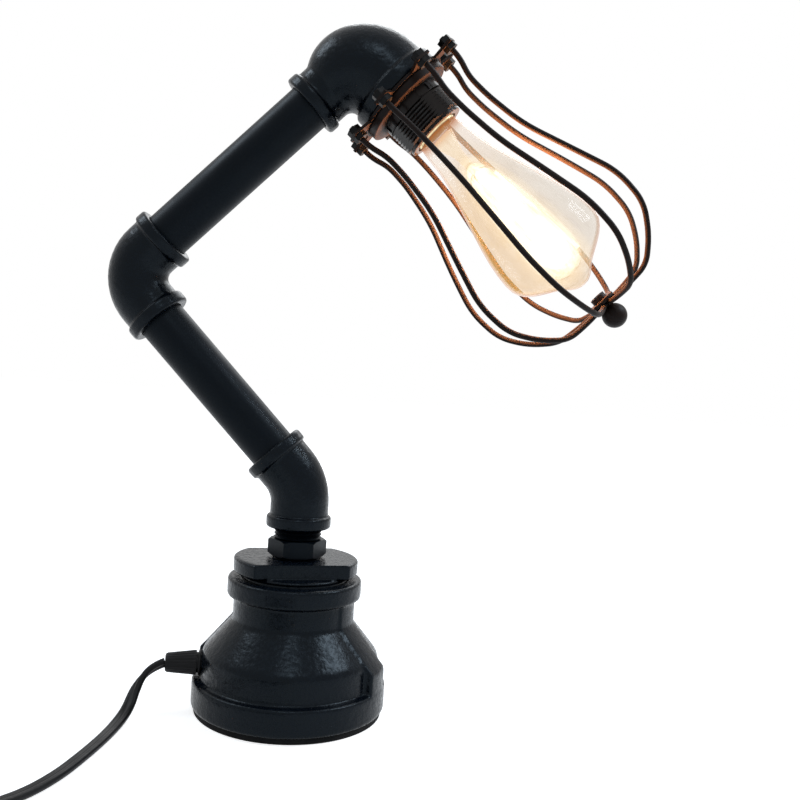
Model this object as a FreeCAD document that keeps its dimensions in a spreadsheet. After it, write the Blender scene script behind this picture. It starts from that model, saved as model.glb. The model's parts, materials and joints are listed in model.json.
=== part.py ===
"""Industrial pipe table lamp, after the way the real one is put together.

A bell reducer stands on a rubber pad.  A bushing and a hex nipple carry a 45 degree elbow,
a pipe, a 90 degree elbow, a second pipe and a reducing elbow, which points down and holds a
threaded lamp socket, a bulb and an eight-wire cage.  A flat twin cord leaves the base
through a strain relief and ends, coiled, in a rocker switch and a two-pin plug.

Millimetres.  The origin is the middle of the pad's underside, +Z is up, the arm lies in the
XZ plane and leans towards -X, and the head reaches out towards +X.
"""
import FreeCAD, Part

import math
import os
import re

from FreeCAD import Placement, Rotation, Vector

# Driving dimensions: millimetres, and degrees for every turn, lean and angle.
SIZES = {
    # pipe thread (3/4 inch) and the fits that every joint of the lamp shares
    "pipe_od": 26.7,
    "pipe_wall": 2.9,
    "thread_pitch": 1.81,
    "thread_depth": 0.9,
    "thread_engagement": 12.7,
    "thread_runout": 0.5,
    "thread_clearance": 0.05,
    "seat_clearance": 0.1,
    # rubber pad and bell reducer
    "pad_thickness": 3.0,
    "pad_inset": 1.6,
    "base_height": 75.6,
    "foot_band_radius": 54.4,
    "foot_band_top": 18.2,
    "foot_band_step": 4.75,
    "shell_top": 33.0,
    "neck_radius": 33.7,
    "neck_length": 23.6,
    "neck_band_radius": 37.65,
    "neck_band_width": 10.7,
    "foot_wall": 9.95,
    "foot_bore_top": 32.5,
    "neck_bore_radius": 30.2,
    "neck_bore_depth": 20.0,
    "throat_radius": 27.5,
    "throat_length": 4.9,
    "band_rounding": 1.5,
    "lug_width": 20.0,
    "lug_stand_off": 0.9,
    "lug_root": 2.0,
    "lug_top_drop": 4.0,
    "lug_angle": -16.6,
    # strain relief and its locknut
    "relief_height": 25.6,
    "relief_angle": 192.0,
    "relief_length": 19.6,
    "relief_flange_radius": 7.0,
    "relief_flange_thickness": 1.4,
    "relief_tip_radius": 5.1,
    "relief_neck_radius": 5.0,
    "relief_neck_length": 12.0,
    "relief_edge": 0.4,
    "relief_nose": 1.0,
    "relief_nut_flats": 13.0,
    "relief_nut_thickness": 3.0,
    # reducing bushing and hex nipple
    "bushing_insert": 17.0,
    "bushing_gap": 2.9,
    "bushing_head_flats": 46.4,
    "bushing_head_radius": 34.9,
    "bushing_head_height": 8.2,
    "bushing_turn": 16.3,
    "bushing_thread_pitch": 2.2,
    "bushing_chamfer": 0.8,
    "nipple_insert": 15.0,
    "nipple_gap": 1.3,
    "nipple_hex_flats": 28.6,
    "nipple_hex_height": 9.2,
    "nipple_hex_turn": 10.2,
    "nipple_hex_chamfer": 1.6,
    "nipple_bore_radius": 9.6,
    "elbow_gap": 6.5,
    # elbows: turn, reach from the centre to each face, cast body and bands
    "turn_low": 44.0,
    "turn_mid": 89.0,
    "turn_head": 87.0,
    "reach_low": 24.9,
    "reach_mid": 33.3,
    "bend_low": 28.0,
    "bend_mid": 21.0,
    "cast_body_radius": 16.4,
    "cast_bore_radius": 12.4,
    "cast_band_radius": 18.2,
    "cast_band_width": 6.9,
    # pipes
    "lower_pipe_length": 121.0,
    "upper_pipe_length": 132.0,
    # reducing elbow
    "reach_small": 41.1,
    "reach_large": 29.5,
    "bell_body_radius": 24.8,
    "bell_band_radius": 26.8,
    "bell_band_width": 8.7,
    "bell_corner": 4.0,
    "bell_wall": 4.8,
    "bell_flare": 2.5,
    "bell_sections": 8,
    "bell_bore_radius": 21.1,
    # mounting disc, lamp nipple and locknuts
    "disc_seat": 12.0,
    "disc_thickness": 1.5,
    "lamp_nipple_radius": 5.0,
    "lamp_nipple_bore": 3.2,
    "lamp_nipple_back": 6.0,
    "lamp_thread_pitch": 0.95,
    "lamp_thread_depth": 0.4,
    "lamp_nut_flats": 14.0,
    "lamp_nut_thickness": 3.0,
    "lamp_nut_turn": 17.0,
    # lamp socket
    "socket_radius": 19.2,
    "socket_cap_radius": 17.5,
    "socket_cap_height": 9.5,
    "socket_floor": 3.0,
    "socket_wall": 2.0,
    "socket_rim": 57.5,
    "socket_lip_radius": 17.8,
    "socket_lip_height": 2.0,
    "socket_thread_start": 41.3,
    "socket_thread_pitch": 1.95,
    "socket_thread_depth": 0.8,
    "socket_flat_distance": 18.3,
    "socket_flat_turn": -112.0,
    "socket_flat_cut": 4.0,
    "socket_edge": 0.5,
    "socket_bore_radius": 14.1,
    "shell_sheet": 0.5,
    "shell_recess": 1.0,
    "window_width": 8.0,
    "window_height": 4.0,
    "window_depth": 1.2,
    "window_drop": 0.6,
    "contact_foot_radius": 3.4,
    "contact_sheet": 0.8,
    "contact_tip_radius": 1.8,
    "terminal_radius": 3.0,
    "terminal_height": 2.4,
    "terminal_distance": 9.5,
    "terminal_slot_width": 0.8,
    "terminal_slot_depth": 0.9,
    # cage
    "collar_thickness": 1.6,
    "collar_radius": 28.6,
    "ear_width": 8.6,
    "bolt_circle": 36.8,
    "ear_reach": 40.6,
    "rib_count": 8,
    "rib_turn": -67.7,
    "rib_wire": 3.1,
    "cage_nut_flats": 7.0,
    "cage_nut_thickness": 3.0,
    "ring_radius": 27.0,
    "ring_height": 4.8,
    "ring_rounding": 0.8,
    "rib_end": 1.0,
    "rib_landing_drop": 1.3,
    "rib_stop": 1.8,
    "hub_flange_radius": 7.9,
    "hub_flange_thickness": 2.1,
    "hub_cup_radius": 4.4,
    "hub_cup_height": 3.0,
    "hub_cup_wall": 0.8,
    "hub_edge": 0.5,
    "hub_stud_radius": 2.4,
    "hub_stud_gap": 2.4,
    "ball_radius": 7.0,
    "ball_gap": 16.9,
    # bulb
    "bulb_radius": 32.6,
    "bulb_tip": 175.4,
    "bulb_glass_scale": 0.957,
    "bulb_neck": 58.0,
    "bulb_base_end": 33.0,
    "bulb_contact_radius": 4.8,
    "bulb_contact_height": 1.5,
    "bulb_insulator_height": 3.6,
    "bulb_shell_radius": 13.1,
    "bulb_thread_pitch": 3.6,
    "bulb_thread_depth": 0.8,
    "bulb_shell_wall": 1.4,
    "bulb_shoulder": 2.0,
    "stem_radius": 2.4,
    "stem_top": 98.0,
    "stem_flare_radius": 7.0,
    "stem_flare_height": 13.0,
    "stem_taper_height": 20.0,
    "stem_taper": 0.6,
    "stem_rounding": 1.0,
    "filament_count": 4,
    "filament_radius": 1.1,
    "filament_length": 62.0,
    "filament_circle": 8.0,
    "filament_drop": 2.0,
    "filament_turn": 31.5,
    "filament_lean": 4.0,
    "support_radius": 0.4,
    "support_start": 8.0,
    "support_bend": 5.0,
    "support_inset": 0.6,
    # the cord inside the base
    "lead_turn_in": 18.0,
    "lead_gap": 1.0,
    # flat twin cord, switch and plug
    "cord_wide": 7.0,
    "cord_thick": 3.6,
    "link_start": 9.0,
    "coil_place_x": 58.0,
    "coil_place_y": 212.0,
    "coil_radius": 38.5,
    "coil_wall": 14.4,
    "coil_height": 10.8,
    "coil_rounding": 1.5,
    "tail_turn": 305.0,
    "tail_height": 7.0,
    "tail_length": 30.0,
    "tie_width": 9.0,
    "tie_sheet": 0.8,
    "tie_slack": 0.4,
    "tie_turn": 80.0,
    "switch_place_x": 111.0,
    "switch_place_y": 162.0,
    "switch_length": 58.0,
    "switch_width": 22.0,
    "switch_base_height": 5.0,
    "switch_top_height": 9.0,
    "switch_wall": 2.0,
    "switch_rounding": 6.0,
    "cord_in_switch": 8.5,
    "screw_radius": 1.3,
    "screw_head_radius": 2.4,
    "screw_place_x": 21.0,
    "screw_place_y": 7.4,
    "boss_radius": 3.0,
    "screw_slot_width": 0.7,
    "screw_slot_depth": 0.6,
    "terminal_block_length": 6.0,
    "terminal_block_width": 8.0,
    "terminal_block_height": 3.4,
    "terminal_block_place": 17.0,
    "tongue_length": 14.0,
    "tongue_width": 4.0,
    "tongue_sheet": 0.6,
    "tongue_reach": 9.0,
    "rocker_length": 18.6,
    "rocker_width": 9.0,
    "rocker_axis_height": 11.0,
    "rocker_pin_radius": 1.5,
    "rocker_cheek": 1.4,
    "rocker_tilt": 8.0,
    "rocker_clearance": 0.4,
    "rocker_overhang": 1.0,
    "rocker_below": 2.5,
    "rocker_saddle": 0.4,
    "rocker_ends": 1.6,
    "plug_length": 30.0,
    "plug_width": 22.0,
    "plug_height": 14.0,
    "plug_neck": 8.0,
    "plug_sleeve_length": 14.0,
    "plug_sleeve_radius": 6.6,
    "plug_sleeve_taper": 9.0,
    "plug_sleeve_rounding": 4.0,
    "plug_sleeve_edge": 1.0,
    "plug_sleeve_mouth": 5.0,
    "blade_length": 17.0,
    "blade_width": 6.35,
    "blade_thickness": 1.5,
    "blade_spacing": 12.7,
    "blade_root": 7.0,
    "plug_rounding": 3.0,
    "cord_in_plug": 6.0,
}

# One rib of the cage: (radius from the head's axis, distance along it, share of its own bend).
RIB_ROUTE = (
    (36.8, 39.5, 0.0),
    (33.4, 50.0, 0.0),
    (33.6, 64.4, 0.1),
    (37.1, 88.7, 0.5),
    (47.4, 117.2, 1.0),
    (56.0, 143.2, 1.0),
    (54.7, 164.4, 1.0),
    (44.7, 179.3, 1.0),
)
RIB_TURN_IN = 32.2
RIB_LANDING = 18.0

# How each rib, bent by hand, differs from the next: (degrees aside, millimetres outwards).
RIB_BENDS = (
    (-0.5, -1.5),
    (3.0, -1.0),
    (1.0, 3.0),
    (-3.0, -2.5),
    (1.0, -1.5),
    (1.5, 0.0),
    (0.5, -1.5),
    (1.0, 1.0),
)

# The bulb's outline: (share of its widest radius, share of the way from its neck to its tip).
BULB_OUTLINE = (
    (0.4, 0.0),
    (0.425, 0.068),
    (0.45, 0.145),
    (0.52, 0.239),
    (0.645, 0.349),
    (0.78, 0.473),
    (0.93, 0.613),
    (1.0, 0.758),
    (0.955, 0.822),
    (0.78, 0.873),
    (0.52, 0.916),
    (0.33, 0.945),
    (0.24, 0.974),
    (0.12, 0.996),
    (0.0, 1.0),
)

UP = Vector(0, 0, 1)
ACROSS = Vector(0, 1, 0)

doc = FreeCAD.newDocument("pipe_table_lamp")
sheet = doc.addObject("Spreadsheet::Sheet", "sizes")
for row, (alias, value) in enumerate(SIZES.items(), 1):
    sheet.set(f"A{row}", alias.replace("_", " "))
    sheet.set(f"B{row}", str(value))
    sheet.setAlias(f"B{row}", alias)
doc.recompute()


class SheetSizes:
    """Reads a driving dimension of the sheet as a plain number."""

    def __getattr__(self, alias):
        return float(sheet.get(alias))


size = SheetSizes()
pieces = []


# ---------------------------------------------------------------- basic shapes
def bind(solid, prop, formula):
    """Binds a property to a formula written in the sheet's aliases."""
    named = re.sub(r"[a-z_]\w*(?!\w*\()", r"sizes.\g<0>", formula)
    solid.setExpression(prop, named)


def cylinder(radius, height, z="0"):
    """A cylinder on the local Z axis that starts at height z."""
    solid = doc.addObject("Part::Cylinder", "cylinder")
    bind(solid, "Radius", radius)
    bind(solid, "Height", height)
    bind(solid, ".Placement.Base.z", z)
    return solid


def box(length, width, height, z="0"):
    """A box centred on the local Z axis that starts at height z."""
    solid = doc.addObject("Part::Box", "box")
    bind(solid, "Length", length)
    bind(solid, "Width", width)
    bind(solid, "Height", height)
    bind(solid, ".Placement.Base.x", f"-({length}) / 2")
    bind(solid, ".Placement.Base.y", f"-({width}) / 2")
    bind(solid, ".Placement.Base.z", z)
    return solid


def prism(sides, flats, height, z="0"):
    """A regular prism of so many sides, given across its flats."""
    solid = doc.addObject("Part::Prism", "prism")
    solid.Polygon = sides
    bind(solid, "Circumradius", f"{flats} / 2 / {math.cos(math.pi / sides):.6f}")
    bind(solid, "Height", height)
    bind(solid, ".Placement.Base.z", z)
    return solid


def bend(bend_radius, pipe_radius, turn):
    """A toroidal bend about the corner at the origin: in along +Z, out towards +X."""
    solid = doc.addObject("Part::Torus", "bend")
    bind(solid, "Radius1", bend_radius)
    bind(solid, "Radius2", pipe_radius)
    bind(solid, "Angle3", turn)
    radius = float(sheet.get(bend_radius))
    tangent = radius * math.tan(math.radians(float(sheet.get(turn)) / 2))
    axes = Rotation(Vector(-1, 0, 0), Vector(0, 0, 1), Vector(0, 1, 0), "XYZ")
    solid.Placement = Placement(Vector(radius, 0, -tangent), axes)
    return solid


def fuse(*solids):
    """One solid made of several."""
    whole = doc.addObject("Part::MultiFuse", "fuse")
    whole.Shapes = list(solids)
    whole.Refine = True
    return whole


def cut(base, *tools):
    """The base without the tools."""
    rest = doc.addObject("Part::Cut", "cut")
    rest.Base = base
    rest.Tool = tools[0] if len(tools) == 1 else fuse(*tools)
    rest.Refine = True
    return rest


def common(first, second):
    """What two solids share."""
    shared = doc.addObject("Part::Common", "common")
    shared.Base = first
    shared.Tool = second
    return shared


def group(solids):
    """Separate solids kept together."""
    together = doc.addObject("Part::Compound", "group")
    together.Links = list(solids)
    return together


def moved(solid, placement):
    """The solid, set down at a placement of its own."""
    solid.Placement = placement
    return solid


def rounded_wire(corners, closed):
    """Straight runs through corners, each corner (point, radius) rounded by an arc."""
    count = len(corners)
    edges = []
    joints = []
    for index, (corner, radius) in enumerate(corners):
        if radius <= 0 or (not closed and index in (0, count - 1)):
            joints.append((corner, corner))
            continue
        back = (corners[index - 1][0] - corner).normalize()
        ahead = (corners[(index + 1) % count][0] - corner).normalize()
        half = back.getAngle(ahead) / 2
        start = corner + back * (radius / math.tan(half))
        end = corner + ahead * (radius / math.tan(half))
        inward = (back + ahead).normalize()
        middle = corner + inward * (radius / math.sin(half) - radius)
        edges.append((index, Part.Arc(start, middle, end).toShape()))
        joints.append((start, end))
    path = []
    arcs = dict(edges)
    for index in range(count):
        if index in arcs:
            path.append(arcs[index])
        if index == count - 1 and not closed:
            break
        start = joints[index][1]
        end = joints[(index + 1) % count][0]
        if start.distanceToPoint(end) > 1e-6:
            path.append(Part.LineSegment(start, end).toShape())
    return Part.Wire(path)


def feature(name, shape, placement=None):
    """A shape worked out from the sheet's sizes, kept as an object of the document."""
    solid = doc.addObject("Part::Feature", name)
    solid.Shape = shape
    solid.Placement = placement or Placement()
    return solid


def spun(outline):
    """A turned solid: corners (radius, height[, rounding]) of its section, closed."""
    corners = []
    for corner in outline:
        rounding = corner[2] if len(corner) > 2 else 0
        corners.append((Vector(corner[0], 0, corner[1]), rounding))
    profile = feature("outline", rounded_wire(corners, closed=True))
    solid = doc.addObject("Part::Revolution", "turned")
    solid.Source = profile
    solid.Axis = UP
    solid.Base = Vector()
    solid.Angle = 360
    solid.Solid = True
    return solid


def thread(radius, depth, pitch, start, end):
    """The corners of a ridged outside, from start up to end."""
    turns = max(1, int(round((end - start) / pitch)))
    step = (end - start) / turns
    corners = []
    for turn in range(turns):
        corners.append((radius - depth, start + turn * step))
        corners.append((radius, start + (turn + 0.5) * step))
    corners.append((radius - depth, end))
    return corners


def tube_radii(points):
    """The radius of each bend of a tube: 0.45 of its shorter run over tan(half turn)."""
    radii = [0.0]
    for before, corner, after in zip(points, points[1:], points[2:]):
        shorter = min(before.distanceToPoint(corner), corner.distanceToPoint(after))
        turn = (corner - before).getAngle(after - corner)
        radii.append(0.45 * shorter / math.tan(turn / 2))
    return radii + [0.0]


def tube(points, radius):
    """A round tube along straight runs joined by tangent arcs."""
    path = rounded_wire(list(zip(points, tube_radii(points))), closed=False)
    start = Part.Wire(Part.makeCircle(radius, points[0], points[1] - points[0]))
    return path.makePipeShell([start], True, False)


def finish(solid, label, placement=None):
    """Names a finished sub-part and puts it in its place on the lamp."""
    solid.Label = label
    if placement is not None:
        solid.Placement = placement
    pieces.append(solid)


# ---------------------------------------------------------------- frames of the arm
def turned_frame(origin, degrees):
    """A frame whose Z axis leans from +Z towards +X by so many degrees."""
    return Placement(origin, Rotation(ACROSS, degrees))


def along(frame, distance):
    """The point at a distance along a frame's Z axis."""
    return frame.multVec(UP * distance)


head_bottom = size.base_height + size.bushing_gap
head_top = head_bottom + size.bushing_head_height
hex_bottom = head_top + size.nipple_gap
hex_top = hex_bottom + size.nipple_hex_height
low_face = hex_top + size.elbow_gap

low_corner = Vector(0, 0, low_face + size.reach_low)
lower = turned_frame(low_corner, -size.turn_low)
lower_start = size.reach_low - size.thread_engagement
lower_end = lower_start + size.lower_pipe_length
mid_corner = along(lower, lower_end - size.thread_engagement + size.reach_mid)

upper = turned_frame(mid_corner, size.turn_mid - size.turn_low)
upper_start = size.reach_mid - size.thread_engagement
upper_end = upper_start + size.upper_pipe_length
head_corner = along(upper, upper_end - size.thread_engagement + size.reach_small)

head = turned_frame(head_corner, size.turn_mid - size.turn_low + size.turn_head)

shell_radius = size.foot_band_radius - size.foot_band_step
foot_bore_radius = size.foot_band_radius - size.foot_wall
neck_bottom = size.base_height - size.neck_length
relief_out = Rotation(UP, size.relief_angle).multVec(Vector(1, 0, 0))
relief = Placement(relief_out * shell_radius + UP * size.relief_height,
                   Rotation(UP, relief_out))
lead_radius = (size.cord_wide + size.cord_thick) / 4


# ---------------------------------------------------------------- base
def base_pad():
    """The rubber disc that closes the bottom."""
    finish(cylinder("foot_band_radius - pad_inset", "pad_thickness"), "base_pad")


def base_reducer():
    """The bell reducer: a cast wall of two bands, a cone and a neck, with a lug each side."""
    low = size.pad_thickness
    top = size.base_height
    band = top - size.neck_band_width
    bore_end = top - size.neck_bore_depth
    edge = size.band_rounding
    wall = spun([
        (foot_bore_radius, low),
        (size.foot_band_radius, low, edge),
        (size.foot_band_radius, size.foot_band_top, edge),
        (shell_radius, size.foot_band_top, edge / 2),
        (shell_radius, size.shell_top, 5 * edge),
        (size.neck_radius, neck_bottom, 2 * edge),
        (size.neck_radius, band, edge / 2),
        (size.neck_band_radius, band, edge),
        (size.neck_band_radius, top, edge),
        (size.neck_bore_radius, top),
        (size.neck_bore_radius, bore_end),
        (size.throat_radius, bore_end),
        (size.throat_radius, bore_end - size.throat_length),
        (foot_bore_radius, size.foot_bore_top),
    ])
    inside = size.lug_root
    proud = size.lug_stand_off
    foot = size.foot_band_radius - proud / 3
    slope = (shell_radius - size.neck_radius) / (neck_bottom - size.shell_top)
    shoulder = 0.7 * size.shell_top + 0.3 * neck_bottom
    shoulder_radius = shell_radius - slope * (shoulder - size.shell_top)
    ridge = spun([
        (shell_radius - inside, size.foot_band_top - inside),
        (foot, size.foot_band_top - inside),
        (foot, size.shell_top - size.lug_top_drop, 2 * edge),
        (shoulder_radius + proud, shoulder, 2 * edge),
        (size.neck_radius + proud, neck_bottom, edge),
        (size.neck_radius + proud, band + edge),
        (size.neck_radius - inside, band + edge),
        (size.neck_radius - inside, neck_bottom - inside),
        (shell_radius - inside, size.shell_top - inside),
    ])
    strip = box("2 * foot_band_radius", "lug_width", "base_height")
    lugs = moved(common(ridge, strip), Placement(Vector(), Rotation(UP, size.lug_angle)))
    hole = moved(group([cylinder("relief_neck_radius + seat_clearance",
                                 "2 * relief_neck_length", "-relief_neck_length")]), relief)
    finish(cut(fuse(wall, lugs), hole), "base_reducer")


def strain_relief():
    """A tapered grommet with a flange outside and a threaded neck through the wall."""
    bore = lead_radius + size.seat_clearance
    flange = size.relief_flange_radius
    tip = size.relief_tip_radius
    edge = size.relief_edge
    nose = size.relief_nose
    sleeve = spun([
        (bore, -size.relief_neck_length),
        (size.relief_neck_radius, -size.relief_neck_length),
        (size.relief_neck_radius, size.seat_clearance),
        (flange, size.seat_clearance),
        (flange, size.relief_flange_thickness),
        (flange - edge, size.relief_flange_thickness + edge),
        (tip + edge / 2, size.relief_length - nose, 0.8 * nose),
        (tip - nose, size.relief_length),
        (bore, size.relief_length),
    ])
    finish(sleeve, "strain_relief", relief)


def relief_locknut():
    """The nut that holds the strain relief from inside the shell."""
    corner = size.relief_nut_flats / math.sqrt(3)
    seat = math.sqrt(foot_bore_radius ** 2 - corner ** 2) - size.seat_clearance
    nut = cut(prism(6, "relief_nut_flats", "relief_nut_thickness"),
              cylinder("relief_neck_radius + thread_clearance", "relief_nut_thickness"))
    inward = relief_out * (seat - size.relief_nut_thickness) + UP * size.relief_height
    flats_up = Rotation(UP, 30)
    finish(nut, "relief_locknut", Placement(inward, relief.Rotation.multiply(flats_up)))


def reducing_bushing():
    """The bushing screwed into the neck of the reducer: its round head has two flats."""
    bottom = size.base_height - size.bushing_insert
    outside = size.neck_bore_radius - size.thread_clearance
    ridges = thread(outside, size.thread_depth, size.bushing_thread_pitch, bottom, head_bottom)
    plug = spun([(0, bottom)] + ridges + [(0, head_bottom)])
    flats = box("2 * bushing_head_radius", "bushing_head_flats", "bushing_head_height")
    edge = size.bushing_chamfer
    round_head = spun([
        (0, 0),
        (size.bushing_head_radius - edge, 0),
        (size.bushing_head_radius, edge),
        (size.bushing_head_radius, size.bushing_head_height - edge),
        (size.bushing_head_radius - 2 * edge, size.bushing_head_height),
        (0, size.bushing_head_height),
    ])
    flat_head = moved(common(flats, round_head),
                      Placement(UP * head_bottom, Rotation(UP, size.bushing_turn)))
    bore = cylinder("pipe_od / 2 + thread_clearance", "2 * base_height")
    finish(cut(fuse(plug, flat_head), bore), "reducing_bushing")


def hex_nipple():
    """The nipple that the 45 degree elbow swivels on."""
    radius = size.pipe_od / 2
    bottom = hex_bottom - size.nipple_insert
    top = low_face + size.thread_engagement - size.thread_runout
    pitch = size.thread_pitch
    lower_thread = thread(radius, size.thread_depth, pitch, bottom, hex_bottom)
    upper_thread = thread(radius, size.thread_depth, pitch, hex_top, top)
    stem = spun([(0, bottom)] + lower_thread + upper_thread + [(0, top)])
    corner = size.nipple_hex_flats / math.sqrt(3)
    edge = size.nipple_hex_chamfer
    barrel = spun([
        (0, 0),
        (corner - edge, 0),
        (corner, edge * 0.6),
        (corner, size.nipple_hex_height - edge * 0.6),
        (corner - edge, size.nipple_hex_height),
        (0, size.nipple_hex_height),
    ])
    nut = moved(common(prism(6, "nipple_hex_flats", "nipple_hex_height"), barrel),
                Placement(UP * hex_bottom, Rotation(UP, size.nipple_hex_turn)))
    bore = cylinder("nipple_bore_radius", "3 * base_height")
    finish(cut(fuse(stem, nut), bore), "hex_nipple")


# ---------------------------------------------------------------- elbows and pipes
def band(radius, width, z):
    """A cast band with rounded edges."""
    return spun([(0, z), (radius, z, size.band_rounding),
                 (radius, z + width, size.band_rounding), (0, z + width)])


def elbow(label, name, frame):
    """A cast elbow with a banded female thread at each end."""
    turn = f"turn_{name}"
    reach = f"reach_{name}"
    curve = f"bend_{name}"
    tangent = f"{curve} * tan({turn} / 2)"
    face = float(sheet.get(reach))
    ends = []
    bores = []
    for degrees in (180.0, float(sheet.get(turn))):
        outward = Placement(Vector(), Rotation(ACROSS, degrees))
        sleeve = cylinder("cast_body_radius", f"{reach} - {tangent}", tangent)
        ring = band(size.cast_band_radius, size.cast_band_width, face - size.cast_band_width)
        ends.append(moved(fuse(sleeve, ring), outward))
        passage = cylinder("cast_bore_radius", f"{reach} - {tangent}", tangent)
        threaded = cylinder("pipe_od / 2 + thread_clearance", "thread_engagement + thread_runout",
                            f"{reach} - thread_engagement - thread_runout")
        bores.append(moved(fuse(passage, threaded), outward))
    outside = fuse(bend(curve, "cast_body_radius", turn), *ends)
    finish(cut(outside, bend(curve, "cast_bore_radius", turn), *bores), label, frame)


def pipe(label, frame, start, length):
    """A length of pipe, threaded at both ends."""
    radius = size.pipe_od / 2
    threaded = size.thread_engagement - size.thread_runout
    outside = thread(radius, size.thread_depth, size.thread_pitch, 0, threaded)
    outside += [(radius, threaded), (radius, length - threaded)]
    outside += thread(radius, size.thread_depth, size.thread_pitch, length - threaded, length)
    bore = radius - size.pipe_wall
    wall = spun([(bore, 0)] + outside + [(bore, length)])
    finish(wall, label, Placement(along(frame, start), frame.Rotation))


def bell_section(turn, radius, pivot, distance):
    """A circle of the bell, at one angle about the pivot of its inner corner."""
    angle = math.radians(turn)
    towards = Vector(-math.cos(angle), 0, -math.sin(angle))
    normal = Vector(-math.sin(angle), 0, math.cos(angle))
    return Part.Wire(Part.makeCircle(radius, pivot + towards * distance, normal))


def reducing_elbow():
    """The casting that turns the arm down and widens to take the lamp socket."""
    turn = math.radians(size.turn_head)
    wide = size.bell_body_radius
    narrow = size.cast_body_radius
    corner = size.bell_corner
    pivot_x = wide + corner
    pivot_z = (narrow + corner - math.cos(turn) * pivot_x) / math.sin(turn)
    pivot = Vector(pivot_x, 0, pivot_z)
    sections = []
    hollows = []
    steps = int(size.bell_sections)
    for step in range(steps + 1):
        share = step / steps
        radius = narrow + (wide - narrow) * (1 - share ** size.bell_flare)
        angle = share * size.turn_head
        sections.append(bell_section(angle, radius, pivot, radius + corner))
        hollows.append(bell_section(angle, radius - size.bell_wall, pivot, radius + corner))
    shell = feature("bell", Part.makeLoft(sections, True))
    hollow = feature("hollow", Part.makeLoft(hollows, True))
    face = size.reach_large
    mouth = spun([(0, pivot_z), (wide, pivot_z), (wide, face), (0, face)])
    mouth_band = band(size.bell_band_radius, size.bell_band_width, face - size.bell_band_width)
    seat = cylinder("bell_bore_radius", "reach_large - disc_seat", "disc_seat")
    opening = spun([(0, pivot_z), (wide - size.bell_wall, pivot_z),
                    (wide - size.bell_wall, face), (0, face)])
    to_pipe = Vector(math.sin(turn), 0, -math.cos(turn))
    start = pivot.dot(to_pipe)
    entry = Placement(Vector(), Rotation(ACROSS, 180 - size.turn_head))
    end = size.reach_small
    sleeve = spun([(0, start), (narrow, start), (narrow, end), (0, end)])
    ring = band(size.cast_band_radius, size.cast_band_width, end - size.cast_band_width)
    bore = narrow - size.bell_wall
    passage = spun([(0, start), (bore, start), (bore, end), (0, end)])
    threaded = cylinder("pipe_od / 2 + thread_clearance", "thread_engagement + thread_runout",
                        "reach_small - thread_engagement - thread_runout")
    outside = fuse(shell, mouth, mouth_band, moved(fuse(sleeve, ring), entry))
    inside = fuse(hollow, seat, opening, moved(fuse(passage, threaded), entry))
    finish(cut(outside, inside), "reducing_elbow", head)


# ---------------------------------------------------------------- lamp socket
def mount_disc():
    """The steel disc that the lamp nipple is clamped to."""
    disc = spun([
        (size.lamp_nipple_radius + size.seat_clearance, size.disc_seat),
        (size.bell_bore_radius - size.seat_clearance, size.disc_seat),
        (size.bell_bore_radius - size.seat_clearance, size.disc_seat + size.disc_thickness),
        (size.lamp_nipple_radius + size.seat_clearance, size.disc_seat + size.disc_thickness),
    ])
    finish(disc, "mount_disc", head)


cap_seat = size.disc_seat + size.disc_thickness + size.lamp_nut_thickness
cap_top = cap_seat + size.socket_cap_height
nipple_end = cap_seat + size.socket_floor


def lamp_nipple():
    """The small threaded tube that joins the disc and the socket's cap."""
    start = size.lamp_nipple_back
    ridges = thread(size.lamp_nipple_radius, size.lamp_thread_depth, size.lamp_thread_pitch,
                    start, nipple_end)
    sleeve = spun([(size.lamp_nipple_bore, start)] + ridges
                  + [(size.lamp_nipple_bore, nipple_end)])
    finish(sleeve, "lamp_nipple", head)


def lamp_locknuts():
    """One nut on each side of the disc."""
    nuts = []
    for height in (size.disc_seat - size.lamp_nut_thickness, size.disc_seat + size.disc_thickness):
        nut = cut(prism(6, "lamp_nut_flats", "lamp_nut_thickness"),
                  cylinder("lamp_nipple_radius + thread_clearance", "lamp_nut_thickness"))
        nuts.append(moved(nut, Placement(UP * height, Rotation(UP, size.lamp_nut_turn * len(nuts)))))
    finish(group(nuts), "lamp_locknuts", head)


def socket_cap():
    """The cup that screws on the lamp nipple and closes the socket's back."""
    outer = size.socket_cap_radius
    inner = outer - size.socket_wall
    cup = spun([
        (size.lamp_nipple_radius + size.thread_clearance, cap_seat),
        (outer, cap_seat, size.socket_wall),
        (outer, cap_top),
        (inner, cap_top),
        (inner, cap_seat + size.socket_floor),
        (size.lamp_nipple_radius + size.thread_clearance, cap_seat + size.socket_floor),
    ])
    finish(cup, "socket_cap", head)


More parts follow.
